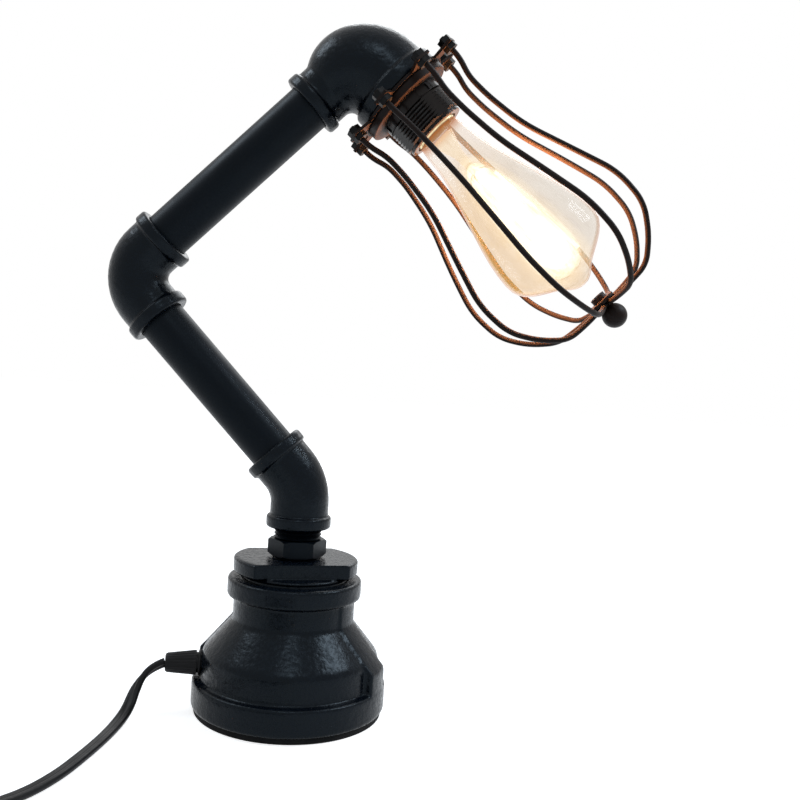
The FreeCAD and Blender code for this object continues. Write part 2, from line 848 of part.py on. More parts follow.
def socket_body():
    """The threaded socket, with four flats and a latch window at the head of each."""
    outer = size.socket_radius
    rim = size.socket_rim
    lip = rim - size.socket_lip_height
    floor_top = cap_top + size.socket_floor
    outside = [(outer, cap_top), (outer, size.socket_thread_start)]
    outside += thread(outer, size.socket_thread_depth, size.socket_thread_pitch,
                      size.socket_thread_start, lip)
    outside += [(size.socket_lip_radius, lip), (size.socket_lip_radius, rim, size.socket_edge)]
    body = spun([(0, cap_top)] + outside + [
        (size.socket_bore_radius, rim),
        (size.socket_bore_radius, floor_top),
        (0, floor_top),
    ])
    cuts = []
    for quarter in range(4):
        turn = Rotation(UP, size.socket_flat_turn + 90 * quarter)
        out = Vector(1, 0, 0)
        flat = box("socket_flat_cut", "socket_radius",
                   "socket_rim - socket_lip_height - socket_thread_start")
        flat_at = (out * (size.socket_flat_distance + size.socket_flat_cut / 2)
                   + UP * size.socket_thread_start)
        window = box("2 * window_depth", "window_width", "window_height")
        window_at = out * outer + UP * (size.socket_thread_start - size.window_height
                                       - size.window_drop)
        for tool, place in ((flat, flat_at), (window, window_at)):
            cuts.append(moved(group([tool]), Placement(turn.multVec(place), turn)))
    finish(cut(body, *cuts), "socket_body", head)


shell_bottom = cap_top + size.socket_floor


def screw_shell():
    """The brass shell that takes the bulb's thread."""
    outer = size.socket_bore_radius - size.seat_clearance
    inner = outer - size.shell_sheet
    top = size.socket_rim - size.shell_recess
    sheet_wall = spun([(inner, shell_bottom), (outer, shell_bottom), (outer, top), (inner, top)])
    finish(sheet_wall, "screw_shell", head)


def centre_contact():
    """The sprung tongue under the bulb's tip."""
    foot = size.contact_foot_radius
    sheet_top = shell_bottom + size.contact_sheet
    pad = spun([(0, shell_bottom), (foot, shell_bottom), (foot, sheet_top),
                (size.contact_tip_radius, size.bulb_base_end, size.contact_sheet / 2),
                (0, size.bulb_base_end)])
    finish(pad, "centre_contact", head)


def terminal_screws():
    """The two wire terminals under the socket's floor."""
    screws = []
    for side in (-1, 1):
        screw = cut(cylinder("terminal_radius", "terminal_height"),
                    box("2.2 * terminal_radius", "terminal_slot_width", "terminal_slot_depth"))
        place = Vector(size.terminal_distance * side, 0, cap_top - size.terminal_height)
        screws.append(moved(screw, Placement(place, Rotation())))
    finish(group(screws), "terminal_screws", head)


# ---------------------------------------------------------------- cage
def round_the_head(solid_maker, height=0.0):
    """One copy of a solid at each rib, at a height along the head."""
    copies = []
    for rib in range(int(size.rib_count)):
        turn = Rotation(UP, size.rib_turn + 360 / size.rib_count * rib)
        copies.append(moved(solid_maker(), Placement(UP * height, turn)))
    return copies


def ear():
    """An ear of the collar, with the hole for its rib."""
    strap = box("ear_reach", "ear_width", "collar_thickness")
    bind(strap, ".Placement.Base.x", "0")
    tip = cylinder("ear_reach", "collar_thickness")
    return common(strap, tip)


def rib_hole():
    """The hole of one ear."""
    hole = cylinder("rib_wire / 2 + seat_clearance", "3 * collar_thickness", "-collar_thickness")
    bind(hole, ".Placement.Base.x", "bolt_circle")
    return group([hole])


def cage_collar():
    """The plate between the reducing elbow's face and the shade ring."""
    plate = cylinder("collar_radius", "collar_thickness")
    whole = fuse(plate, *round_the_head(ear))
    middle = cylinder("socket_radius + seat_clearance", "collar_thickness")
    collar = cut(whole, middle, *round_the_head(rib_hole))
    finish(collar, "cage_collar", Placement(along(head, size.reach_large), head.Rotation))


def shade_ring():
    """The ring that clamps the collar."""
    bottom = size.reach_large + size.collar_thickness
    inner = size.socket_radius + size.seat_clearance
    ring = spun([
        (inner, bottom),
        (size.ring_radius, bottom, size.ring_rounding),
        (size.ring_radius, bottom + size.ring_height, size.ring_rounding),
        (inner, bottom + size.ring_height),
    ])
    finish(ring, "shade_ring", head)


def cage_nut():
    """A hex nut on the bolt circle."""
    nut = cut(prism(6, "cage_nut_flats", "cage_nut_thickness"),
              cylinder("rib_wire / 2 + thread_clearance", "cage_nut_thickness"))
    return group([moved(nut, Placement(Vector(size.bolt_circle, 0, 0), Rotation(UP, 30)))])


def cage_nuts():
    """A nut above and a nut below each ear."""
    above = size.reach_large - size.cage_nut_thickness
    below = size.reach_large + size.collar_thickness
    finish(group(round_the_head(cage_nut, above)), "cage_nuts_upper", head)
    finish(group(round_the_head(cage_nut, below)), "cage_nuts_lower", head)


stud_bottom = size.bulb_tip + size.ball_gap
ball_centre = stud_bottom + size.ball_radius
flange_bottom = stud_bottom - size.hub_stud_gap
flange_top = flange_bottom - size.hub_flange_thickness


def cage_ribs():
    """Eight bent wires from the collar to the underside of the hub."""
    wire = size.rib_wire / 2
    landing = flange_bottom + wire
    start = size.reach_large - size.cage_nut_thickness - size.rib_end
    route = [
        (size.bolt_circle, start, 0.0),
        *RIB_ROUTE,
        (RIB_TURN_IN, landing - size.rib_landing_drop, 0.5),
        (RIB_LANDING, landing, 0.0),
        (size.hub_stud_radius + size.rib_stop, landing, 0.0),
    ]
    for number in range(int(size.rib_count)):
        aside, outwards = RIB_BENDS[number % len(RIB_BENDS)]
        points = []
        for radius, distance, share in route:
            point = Vector(radius + share * outwards, 0, distance)
            points.append(Rotation(UP, share * aside).multVec(point))
        label = f"cage_rib_{number + 1}"
        rib = tube(points, wire)
        tube_check(label, rib, points, wire)
        turn = Rotation(UP, size.rib_turn + 360 / size.rib_count * number)
        finish(feature("rib", rib), label, head.multiply(Placement(Vector(), turn)))


def cage_hub():
    """The turned hub: an open cup, a flange for the ribs and a stud for the ball."""
    cup = size.hub_cup_radius
    cup_top = flange_top - size.hub_cup_height
    hub = spun([
        (0, flange_top + size.hub_edge),
        (cup - size.hub_cup_wall, flange_top + size.hub_edge),
        (cup - size.hub_cup_wall, cup_top),
        (cup, cup_top),
        (cup, flange_top),
        (size.hub_flange_radius, flange_top, size.hub_edge),
        (size.hub_flange_radius, flange_bottom, size.hub_edge),
        (size.hub_stud_radius, flange_bottom),
        (size.hub_stud_radius, ball_centre),
        (0, ball_centre),
    ])
    finish(hub, "cage_hub", head)


def ball_finial():
    """The ball screwed on the hub's stud."""
    ball = doc.addObject("Part::Sphere", "ball")
    bind(ball, "Radius", "ball_radius")
    bore = cylinder("hub_stud_radius + thread_clearance", "ball_radius + seat_clearance",
                    "-ball_radius")
    finish(cut(ball, bore), "ball_finial",
           Placement(along(head, ball_centre), head.Rotation))


# ---------------------------------------------------------------- bulb
def bulb_height(share):
    """The distance along the head's axis, at a share of the way from neck to tip."""
    return size.bulb_neck + share * (size.bulb_tip - size.bulb_neck)


bulb_widest = bulb_height(max(BULB_OUTLINE)[1])


def bulb_curve(scale):
    """The pear outline of the bulb, drawn in or out about its widest height."""
    points = []
    for share, rise in BULB_OUTLINE:
        points.append(Vector(share * size.bulb_radius * scale, 0,
                             bulb_widest + (bulb_height(rise) - bulb_widest) * scale))
    curve = Part.BSplineCurve()
    curve.interpolate(Points=points, InitialTangent=UP, FinalTangent=Vector(-1, 0, 0))
    return curve


def bulb_solid(scale):
    """The solid inside the bulb's outline."""
    curve = bulb_curve(scale)
    start = curve.StartPoint
    end = curve.EndPoint
    foot = Vector(0, 0, start.z)
    edges = [curve.toShape(), Part.LineSegment(end, foot).toShape(),
             Part.LineSegment(foot, start).toShape()]
    face = Part.Face(Part.Wire(edges))
    return feature("bulb", face.revolve(Vector(), UP, 360))


def bulb_glass():
    """The hollow amber envelope."""
    finish(cut(bulb_solid(1.0), bulb_solid(size.bulb_glass_scale)), "bulb_glass", head)


contact_top = size.bulb_base_end + size.bulb_contact_height
insulator_top = contact_top + size.bulb_insulator_height


def bulb_base():
    """The bulb's threaded shell, its insulator and its contact."""
    contact = size.bulb_contact_radius
    outer = size.bulb_shell_radius
    tip = spun([(0, size.bulb_base_end), (contact, size.bulb_base_end, size.stem_rounding),
                (contact, contact_top), (0, contact_top)])
    finish(tip, "bulb_contact", head)
    ring = spun([(0, contact_top), (contact + size.shell_sheet, contact_top),
                 (outer - size.bulb_shoulder, insulator_top), (0, insulator_top)])
    finish(ring, "bulb_insulator", head)
    ridges = thread(outer, size.bulb_thread_depth, size.bulb_thread_pitch,
                    insulator_top, size.bulb_neck)
    inner = outer - size.bulb_shell_wall
    shell = spun([(inner, insulator_top)] + ridges + [(inner, size.bulb_neck)])
    finish(shell, "bulb_shell", head)


def bulb_stem():
    """The glass mount that carries the filaments."""
    inner_neck = bulb_widest + (size.bulb_neck - bulb_widest) * size.bulb_glass_scale
    stem = spun([
        (0, inner_neck),
        (size.stem_flare_radius, inner_neck),
        (size.stem_radius + size.stem_taper, inner_neck + size.stem_flare_height),
        (size.stem_radius, inner_neck + size.stem_taper_height),
        (size.stem_radius, size.stem_top, size.stem_rounding),
        (0, size.stem_top),
    ])
    finish(stem, "bulb_stem", head)


filament_bottom = size.stem_top - size.filament_drop


def filament_turns():
    """The angle of each filament round the bulb's axis."""
    for number in range(int(size.filament_count)):
        yield Rotation(UP, 360 / size.filament_count * number + size.filament_turn)


def filaments():
    """The straight filament rods, set round the bulb's axis."""
    rods = []
    for turn in filament_turns():
        out = turn.multVec(Vector(size.filament_circle, 0, 0))
        rod = group([cylinder("filament_radius", "filament_length")])
        lean = turn.multiply(Rotation(ACROSS, size.filament_lean))
        rods.append(moved(rod, Placement(out + UP * filament_bottom, lean)))
    finish(group(rods), "filaments", head)


def filament_supports():
    """The wires that hold the filaments from the stem."""
    wires = []
    for turn in filament_turns():
        beside = size.stem_radius + size.support_radius
        start = Vector(beside, 0, filament_bottom - size.support_start)
        bend_at = Vector(size.filament_circle - size.support_inset, 0,
                         filament_bottom - size.support_bend)
        end = Vector(size.filament_circle, 0, filament_bottom - size.seat_clearance)
        wire = tube([start, bend_at, end], size.support_radius)
        wires.append(feature("wire", wire, Placement(Vector(), turn)))
    finish(group(wires), "filament_supports", head)


# ---------------------------------------------------------------- leads inside the arm
base_split = low_face + size.thread_engagement - size.thread_runout
lower_split = lower_end
upper_split = upper_end


def leads():
    """The cord inside the arm, parted where each swivel turns."""
    inner = relief_out * size.lead_turn_in + UP * size.relief_height
    rise = UP * (size.relief_height + size.lead_turn_in)
    mouth = relief.multVec(UP * (size.relief_length - size.lead_gap))
    route = [mouth, inner, rise, UP * base_split]
    finish(feature("lead", tube(route, lead_radius)), "lead_base")
    route = [UP * base_split, low_corner, along(lower, lower_split)]
    finish(feature("lead", tube(route, lead_radius)), "lead_lower")
    route = [along(lower, lower_split), mid_corner, along(upper, upper_split)]
    finish(feature("lead", tube(route, lead_radius)), "lead_upper")
    route = [along(upper, upper_split), head_corner, along(head, nipple_end)]
    finish(feature("lead", tube(route, lead_radius)), "lead_head")


# ---------------------------------------------------------------- cord, switch and plug
FLOOR = lead_radius
switch_entry = Vector(-size.switch_place_x, -size.switch_place_y, size.switch_base_height)
switch_way = Vector(-0.28, -0.96, 0).normalize()
switch_exit = switch_entry + switch_way * size.switch_length
coil_middle = Vector(-size.coil_place_x, -size.coil_place_y, 0)
coil_bottom = size.tie_sheet + size.seat_clearance
coil_side = size.coil_radius + size.coil_wall / 2 + lead_radius
tail_turn = Rotation(UP, size.tail_turn)
tail_start = (coil_middle + tail_turn.multVec(Vector(coil_side, 0, 0))
              + UP * size.tail_height)
tail_way = tail_turn.multVec(ACROSS)
plug_back = (tail_start + tail_way * size.tail_length
             + UP * (size.plug_height / 2 - size.tail_height))

CORD_LEAD = [
    relief.multVec(UP * size.relief_length),
    Vector(-72.0, -15.9, 24.1),
    Vector(-77.7, -19.1, 19.8),
    Vector(-81.0, -24.3, 12.9),
    Vector(-81.7, -33.7, 5.6),
    Vector(-83.4, -47.0, FLOOR),
    Vector(-84.2, -64.0, FLOOR),
    Vector(-86.8, -86.0, FLOOR),
    Vector(-90.5, -108.0, FLOOR),
    Vector(-98.0, -128.0, FLOOR),
    Vector(-106.5, -147.0, 5.0),
    switch_entry + switch_way * size.cord_in_switch,
]
CORD_LINK = [
    switch_exit - switch_way * size.cord_in_switch,
    switch_exit + switch_way * size.link_start,
    Vector(-129.0, -246.0, FLOOR),
    Vector(-106.0, -257.5, FLOOR),
    Vector(-61.8, -260.4, FLOOR),
]
CORD_TAIL = [tail_start, plug_back + tail_way * size.cord_in_plug]


def tube_check(label, solid, route, radius):
    """Prints a tube's bend radii and how near its volume is to section times length."""
    path = rounded_wire(list(zip(route, tube_radii(route))), closed=False)
    radii = ", ".join(f"{bend:.1f}" for bend in tube_radii(route)[1:-1])
    share = solid.Volume / (math.pi * radius ** 2 * path.Length)
    print(f"{label}: bend radii {radii}; length {path.Length:.1f}; volume share {share:.4f}")


def cord_tubes():
    """The stretches of the cord that aren't coiled."""
    routes = (("cord_lead", CORD_LEAD), ("cord_link", CORD_LINK), ("cord_tail", CORD_TAIL))
    for label, route in routes:
        stretch = tube(route, lead_radius)
        finish(feature("cord", stretch), label)
        tube_check(label, stretch, route, lead_radius)


def cord_coil():
    """The outer shape of the put-away turns, and the tie round them."""
    inner = size.coil_radius - size.coil_wall / 2
    outer = size.coil_radius + size.coil_wall / 2
    top = coil_bottom + size.coil_height
    soft = size.coil_rounding
    ring = spun([(inner, coil_bottom, soft), (outer, coil_bottom, soft),
                 (outer, top, soft), (inner, top, soft)])
    finish(ring, "cord_coil", Placement(coil_middle, Rotation()))
    loop = cut(box("coil_wall + 2 * (tie_sheet + tie_slack)", "tie_width",
                   "coil_height + 2 * (tie_sheet + seat_clearance)"),
               box("coil_wall + 2 * tie_slack", "2 * tie_width",
                   "coil_height + 2 * seat_clearance", "tie_sheet"))
    turn = Rotation(UP, size.tie_turn)
    finish(loop, "cord_tie",
           Placement(coil_middle + turn.multVec(Vector(size.coil_radius, 0, 0)), turn))


switch_frame = Placement(switch_entry + switch_way * (size.switch_length / 2)
                         - UP * size.switch_base_height,
                         Rotation(Vector(1, 0, 0), switch_way))


def rounded_box(length, width, height, rounding, z="0"):
    """A box with its upright edges rounded."""
    block = box(length, width, height, z)
    doc.recompute()
    upright = []
    for number, edge in enumerate(block.Shape.Edges, 1):
        first, last = edge.Vertexes[0].Point, edge.Vertexes[-1].Point
        if abs(first.z - last.z) > 1e-6:
            upright.append((number, rounding, rounding))
    soft = doc.addObject("Part::Fillet", "rounded_box")
    soft.Base = block
    soft.Edges = upright
    return soft


def screw_sites():
    """The two diagonal places of the switch's screws."""
    for side in (-1, 1):
        yield Placement(Vector(side * size.screw_place_x, side * size.screw_place_y, 0), Rotation())


def cord_channel():
    """The round way through both ends of the switch at the split between its halves."""
    channel = cylinder("(cord_wide + cord_thick) / 4 + seat_clearance", "2 * switch_length",
                       "-switch_length")
    return moved(group([channel]),
                 Placement(UP * size.switch_base_height, Rotation(ACROSS, 90)))


def switch_halves():
    """The two halves of the in-line switch's case."""
    inner = size.switch_rounding - size.switch_wall
    base = rounded_box("switch_length", "switch_width", "switch_base_height",
                       size.switch_rounding)
    room = rounded_box("switch_length - 2 * switch_wall", "switch_width - 2 * switch_wall",
                       "switch_base_height", inner, "switch_wall")
    bosses = []
    holes = []
    for site in screw_sites():
        bosses.append(moved(group([cylinder("boss_radius",
                                            "switch_base_height - switch_wall / 2",
                                            "switch_wall / 2")]), site))
        drill = fuse(cylinder("screw_radius + seat_clearance", "switch_base_height"),
                     cylinder("screw_head_radius + seat_clearance", "switch_wall"))
        holes.append(moved(drill, site))
    base = cut(fuse(cut(base, room), *bosses), cord_channel(), *holes)
    finish(base, "switch_base", switch_frame)

    case = rounded_box("switch_length", "switch_width", "switch_top_height",
                       size.switch_rounding, "switch_base_height")
    room = rounded_box("switch_length - 2 * switch_wall", "switch_width - 2 * switch_wall",
                       "switch_top_height - switch_wall", inner, "switch_base_height")
    bosses = []
    holes = []
    for site in screw_sites():
        bosses.append(moved(group([cylinder("boss_radius", "switch_top_height - switch_wall / 2",
                                            "switch_base_height")]), site))
        holes.append(moved(group([cylinder("screw_radius + thread_clearance",
                                           "switch_top_height - switch_wall",
                                           "switch_base_height")]), site))
    slot = box("rocker_length + 2 * rocker_clearance", "rocker_width + 2 * rocker_clearance",
               "2 * switch_wall", "switch_base_height + switch_top_height - 1.5 * switch_wall")
    cheeks = cut(box("4 * rocker_pin_radius + rocker_clearance",
                     "rocker_width + 2 * (rocker_clearance + rocker_cheek)",
                     "switch_base_height + switch_top_height - switch_wall"
                     " - rocker_axis_height + 2 * rocker_pin_radius",
                     "rocker_axis_height - 2 * rocker_pin_radius"),
                 box("switch_length", "rocker_width + 2 * rocker_clearance", "2 * switch_width"))
    pin = cylinder("rocker_pin_radius + thread_clearance", "switch_width", "-switch_width / 2")
    pin_way = moved(group([pin]), Placement(UP * size.rocker_axis_height,
                                            Rotation(Vector(1, 0, 0), 90)))
    top = cut(fuse(cut(case, room), cheeks, *bosses), slot, cord_channel(), pin_inside(pin_way),
              *holes)
    finish(top, "switch_top", switch_frame)


def pin_inside(pin_way):
    """The pin's way, kept inside the cheeks."""
    return common(pin_way, box("switch_length", "switch_width - 2 * switch_wall", "2 * switch_width"))


def switch_rocker():
    """The rocker and its pivot pins, lying at the end of its travel."""
    reach = size.rocker_length / 2 + size.rocker_overhang
    crown = size.switch_base_height + size.switch_top_height - size.rocker_axis_height
    low = -size.rocker_below
    high = crown + size.rocker_ends
    corners = [(-reach, low), (reach, low), (reach, high), (0, crown + size.rocker_saddle),
               (-reach, high)]
    side = Vector(0, -size.rocker_width / 2, 0)
    outline = Part.makePolygon([Vector(x, 0, z) + side for x, z in corners + corners[:1]])
    wedge = feature("wedge", Part.Face(outline).extrude(ACROSS * size.rocker_width))
    sweep = moved(group([cylinder("rocker_length / 2", "rocker_width", "-rocker_width / 2")]),
                  Placement(Vector(), Rotation(Vector(1, 0, 0), 90)))
    pin = moved(group([cylinder("rocker_pin_radius",
                                "rocker_width + 2 * (rocker_clearance + rocker_cheek)",
                                "-rocker_width / 2 - rocker_clearance - rocker_cheek")]),
                Placement(Vector(), Rotation(Vector(1, 0, 0), 90)))
    lean = Placement(UP * size.rocker_axis_height, Rotation(ACROSS, -size.rocker_tilt))
    finish(fuse(common(wedge, sweep), pin), "switch_rocker", switch_frame.multiply(lean))


def switch_fittings():
    """The screws from below, and the two terminals with their contact tongues."""
    screws = []
    for site in screw_sites():
        screw = fuse(cylinder("screw_radius",
                              "switch_base_height + switch_top_height - 2 * switch_wall",
                              "switch_wall / 4"),
                     cylinder("screw_head_radius", "3 * switch_wall / 4", "switch_wall / 4"))
        slot = box("2 * screw_head_radius", "screw_slot_width", "screw_slot_depth",
                   "switch_wall / 4")
        screws.append(moved(cut(screw, slot), site))
    finish(group(screws), "switch_screws", switch_frame)
    terminals = []
    for side in (-1, 1):
        tongue = moved(group([box("tongue_length", "tongue_width", "tongue_sheet", "switch_wall")]),
                       Placement(Vector(-size.tongue_reach * side, 0, 0), Rotation()))
        block = fuse(box("terminal_block_length", "terminal_block_width",
                         "terminal_block_height", "switch_wall"), tongue)
        place = Vector(size.terminal_block_place * side, 0, 0)
        terminals.append(moved(block, Placement(place, Rotation())))
    finish(group(terminals), "switch_terminals", switch_frame)


def plug():
    """A two-pin plug that lies beside the coil."""
    frame = Placement(Vector(plug_back.x, plug_back.y, 0), Rotation(Vector(1, 0, 0), tail_way))
    wide = size.plug_sleeve_radius
    end = size.plug_sleeve_length
    shell = spun([(0, 0), (size.plug_sleeve_mouth, 0, size.plug_sleeve_edge),
                  (wide, size.plug_sleeve_taper, size.plug_sleeve_rounding), (wide, end), (0, end)])
    sleeve = moved(shell, Placement(UP * (size.plug_height / 2), Rotation(ACROSS, 90)))
    block = rounded_box("plug_length - plug_neck", "plug_width", "plug_height",
                        size.plug_rounding)
    head_block = moved(group([block]),
                       Placement(Vector((size.plug_length + size.plug_neck) / 2, 0, 0), Rotation()))
    blades = []
    for side in (-1, 1):
        at = Vector(size.plug_length - size.blade_root + (size.blade_length + size.blade_root) / 2,
                    side * size.blade_spacing / 2, (size.plug_height - size.blade_width) / 2)
        blade = box("blade_length + blade_root", "blade_thickness", "blade_width")
        blades.append(moved(group([blade]), Placement(at, Rotation())))
    hole = moved(group([cylinder("(cord_wide + cord_thick) / 4 + seat_clearance",
                                 "cord_in_plug + seat_clearance")]),
                 Placement(UP * (size.plug_height / 2), Rotation(ACROSS, 90)))
    finish(cut(fuse(sleeve, head_block), hole, *blades), "plug_body", frame)
    finish(group(blades), "plug_blades", frame)


for make in (base_pad, base_reducer, strain_relief, relief_locknut, reducing_bushing, hex_nipple):
    make()
elbow("elbow_45", "low", Placement(low_corner, Rotation(UP, 180)))
pipe("lower_pipe", lower, lower_start, size.lower_pipe_length)
elbow("elbow_90", "mid", Placement(mid_corner, lower.Rotation))
pipe("upper_pipe", upper, upper_start, size.upper_pipe_length)
for make in (reducing_elbow, mount_disc, lamp_nipple, lamp_locknuts, socket_cap, socket_body,
             screw_shell, centre_contact, terminal_screws, cage_collar, shade_ring, cage_nuts,
             cage_ribs, cage_hub, ball_finial, bulb_glass, bulb_base, bulb_stem, filaments,
             filament_supports, leads, cord_tubes, cord_coil, switch_halves, switch_rocker,
             switch_fittings, plug):
    make()

doc.recompute()
os.makedirs("parts", exist_ok=True)
for item in doc.Objects:
    if "Invalid" in item.State or "Error" in item.State:
        raise RuntimeError(f"{item.Label} failed: {item.State}")
for piece in pieces:
    if piece.Shape.isNull() or not piece.Shape.isValid():
        raise RuntimeError(f"{piece.Label} has no valid shape")
for piece in pieces:
    piece.Shape.exportStep(os.path.join("parts", piece.Label + ".step"))
print(len(pieces), "sub-parts written")
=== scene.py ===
"""Dresses the industrial pipe table lamp and lights it in a plain pale studio.

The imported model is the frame.  Every fitting of the lamp is a class that builds its own
meshes and gives them their finish; every finish is a small frozen dataclass.  Metres.
"""
import json
import logging
import math
from collections.abc import Iterable, Sequence
from dataclasses import dataclass, field
from enum import Enum

import bmesh
import bpy
from mathutils import Matrix, Vector

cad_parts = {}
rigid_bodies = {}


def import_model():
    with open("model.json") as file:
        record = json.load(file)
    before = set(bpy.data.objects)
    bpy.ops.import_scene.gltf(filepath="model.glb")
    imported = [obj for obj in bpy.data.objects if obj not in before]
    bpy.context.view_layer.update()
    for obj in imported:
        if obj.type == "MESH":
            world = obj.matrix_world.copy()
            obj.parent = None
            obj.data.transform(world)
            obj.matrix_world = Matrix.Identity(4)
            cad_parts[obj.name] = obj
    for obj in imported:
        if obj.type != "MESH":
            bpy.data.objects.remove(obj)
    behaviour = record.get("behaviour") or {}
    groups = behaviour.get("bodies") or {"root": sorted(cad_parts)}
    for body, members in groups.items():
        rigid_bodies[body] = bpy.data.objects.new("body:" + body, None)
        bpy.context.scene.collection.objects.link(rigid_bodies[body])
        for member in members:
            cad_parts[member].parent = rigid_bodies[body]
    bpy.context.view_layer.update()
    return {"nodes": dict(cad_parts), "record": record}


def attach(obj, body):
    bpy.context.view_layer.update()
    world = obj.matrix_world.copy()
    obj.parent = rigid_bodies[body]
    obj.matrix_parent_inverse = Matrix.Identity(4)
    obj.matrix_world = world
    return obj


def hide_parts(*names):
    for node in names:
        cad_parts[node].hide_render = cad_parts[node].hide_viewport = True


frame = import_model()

MM = 0.001
BODY_OF = {
    node: body
    for body, nodes in frame["record"]["behaviour"]["bodies"].items()
    for node in nodes
}

HEAD = Matrix.Translation((0.02115, 0.0, 0.36722)) @ Matrix.Rotation(math.radians(132), 4, "Y")

log = logging.getLogger("lamp")

Point = tuple[float, float, float]
Colour = tuple[float, float, float]
SKY_TINT: Colour = (0.76, 0.9, 1.0)


# ------------------------------------------------------------------ shader maths
class Signal:
    """A shader socket that takes part in Python expressions on values."""

    def __init__(self, bench: "Bench", socket: bpy.types.NodeSocket) -> None:
        """Wraps a node's output socket.

        Args:
            bench: the material whose nodes the expressions add to.
            socket: the output that is wrapped.
        """
        self.bench = bench
        self.socket = socket

    def _math(self, operation: str, first: object, second: object) -> "Signal":
        """One Math node on two values or links."""
        return self.bench.node("ShaderNodeMath", {"operation": operation}, {0: first, 1: second})

    def __add__(self, other: object) -> "Signal":
        """self + other."""
        return self._math("ADD", self, other)

    def __radd__(self, other: object) -> "Signal":
        """other + self."""
        return self._math("ADD", other, self)

    def __sub__(self, other: object) -> "Signal":
        """self - other."""
        return self._math("SUBTRACT", self, other)

    def __rsub__(self, other: object) -> "Signal":
        """other - self."""
        return self._math("SUBTRACT", other, self)

    def __mul__(self, other: object) -> "Signal":
        """self * other."""
        return self._math("MULTIPLY", self, other)

    def __rmul__(self, other: object) -> "Signal":
        """other * self."""
        return self._math("MULTIPLY", other, self)

    def __pow__(self, other: object) -> "Signal":
        """self ** other."""
        return self._math("POWER", self, other)

    def span(self, low: float, high: float, start: float = 0.0, end: float = 1.0) -> "Signal":
        """Maps low..high smoothly to start..end.

        Args:
            low: the value that becomes start.
            high: the value that becomes end.
            start: what comes out at low and below.
            end: what comes out at high and above.

        Returns:
            The mapped signal.
        """
        return self.bench.node(
            "ShaderNodeMapRange",
            {"interpolation_type": "SMOOTHSTEP"},
            {"Value": self, "From Min": low, "From Max": high, "To Min": start, "To Max": end},
        )


class Bench:
    """The node tree of one material, with one method that makes any node."""

    def __init__(self, name: str) -> None:
        """Starts an empty material.

        Args:
            name: the material's name.
        """
        self.material = bpy.data.materials.new(name)
        self.material.use_nodes = True
        self.tree = self.material.node_tree
        self.tree.nodes.clear()

    def node(
        self,
        kind: str,
        settings: dict[str, object] | None = None,
        inputs: dict[object, object] | None = None,
        output: str | int = 0,
    ) -> Signal:
        """Adds a node.

        Args:
            kind: the node's Blender type.
            settings: its properties, set first; "stops" are a ramp's (place, colour) pairs.
            inputs: the values or signals of its sockets, by name or number.
            output: the socket to hand back.

        Returns:
            The chosen output as a signal.
        """
        made = self.tree.nodes.new(kind)
        for name, value in (settings or {}).items():
            if name == "stops":
                ramp = made.color_ramp
                while len(ramp.elements) < len(value):
                    ramp.elements.new(0.5)
                for element, (place, colour) in zip(ramp.elements, value):
                    element.position = place
                    element.color = (*colour, 1.0)
            else:
                setattr(made, name, value)
        for name, value in (inputs or {}).items():
            socket = made.inputs[name]
            if isinstance(value, Signal):
                self.tree.links.new(value.socket, socket)
            elif isinstance(value, tuple) and len(value) == 3 and socket.type == "RGBA":
                socket.default_value = (*value, 1.0)
            else:
                socket.default_value = value
        return Signal(self, made.outputs[output] if made.outputs else None)

    def place(self) -> Signal:
        """The point's place in the lamp's own frame."""
        return self.node("ShaderNodeTexCoord", output="Object")

    def noise(
        self, size_mm: float, detail: float = 3.0, rough: float = 0.5, at: Signal | None = None
    ) -> Signal:
        """Cloudy noise whose blotches are so many millimetres wide."""
        return self.node(
            "ShaderNodeTexNoise",
            {"noise_dimensions": "3D"},
            {
                "Vector": at or self.place(),
                "Scale": 1.0 / (size_mm * MM),
                "Detail": detail,
                "Roughness": rough,
            },
            "Fac",
        )

    def seen(self) -> Signal:
        """1 where a surface is looked at, also through glass or in a gloss; 0 for plain light."""
        kinds = ("Is Camera Ray", "Is Glossy Ray", "Is Transmission Ray")
        eye, gloss, glass = (self.node("ShaderNodeLightPath", output=kind) for kind in kinds)
        either = self.node("ShaderNodeMath", {"operation": "MAXIMUM"}, {0: eye, 1: gloss})
        return self.node("ShaderNodeMath", {"operation": "MAXIMUM"}, {0: either, 1: glass})

    def in_head(self, stretch: float = 1.0) -> Signal:
        """The point's place in the head's frame, its Z drawn together so many times."""
        return self.node(
            "ShaderNodeMapping",
            {"vector_type": "TEXTURE"},
            {
                "Vector": self.place(),
                "Location": HEAD.to_translation(),
                "Rotation": HEAD.to_euler(),
                "Scale": (1.0, 1.0, stretch),
            },
        )

    def edges(self, low: float, high: float) -> Signal:
        """0 in hollows and 1 on sharp outer edges."""
        worn = self.node("ShaderNodeNewGeometry", output="Pointiness")
        return worn.span(low, high)

    def blend(self, share: Signal, first: object, second: object) -> Signal:
        """Two colours mixed by a share."""
        return self.node(
            "ShaderNodeMix",
            {"data_type": "RGBA"},
            {0: share, 6: first, 7: second},
            2,
        )

    def bump(self, height: Signal, depth_mm: float, strength: float = 1.0) -> Signal:
        """A relief of so many millimetres."""
        return self.node(
            "ShaderNodeBump", None,
            {"Height": height, "Distance": depth_mm * MM, "Strength": strength},
        )

    def surface(self, **sockets: object) -> Signal:
        """A Principled shader with these sockets; words take _ for a space."""
        inputs = {name.replace("_", " "): value for name, value in sockets.items()}
        return self.node("ShaderNodeBsdfPrincipled", None, inputs)

    def done(self, shader: Signal) -> bpy.types.Material:
        """Ends the tree in this shader and hands back the material."""
        self.node("ShaderNodeOutputMaterial", None, {"Surface": shader})
        return self.material


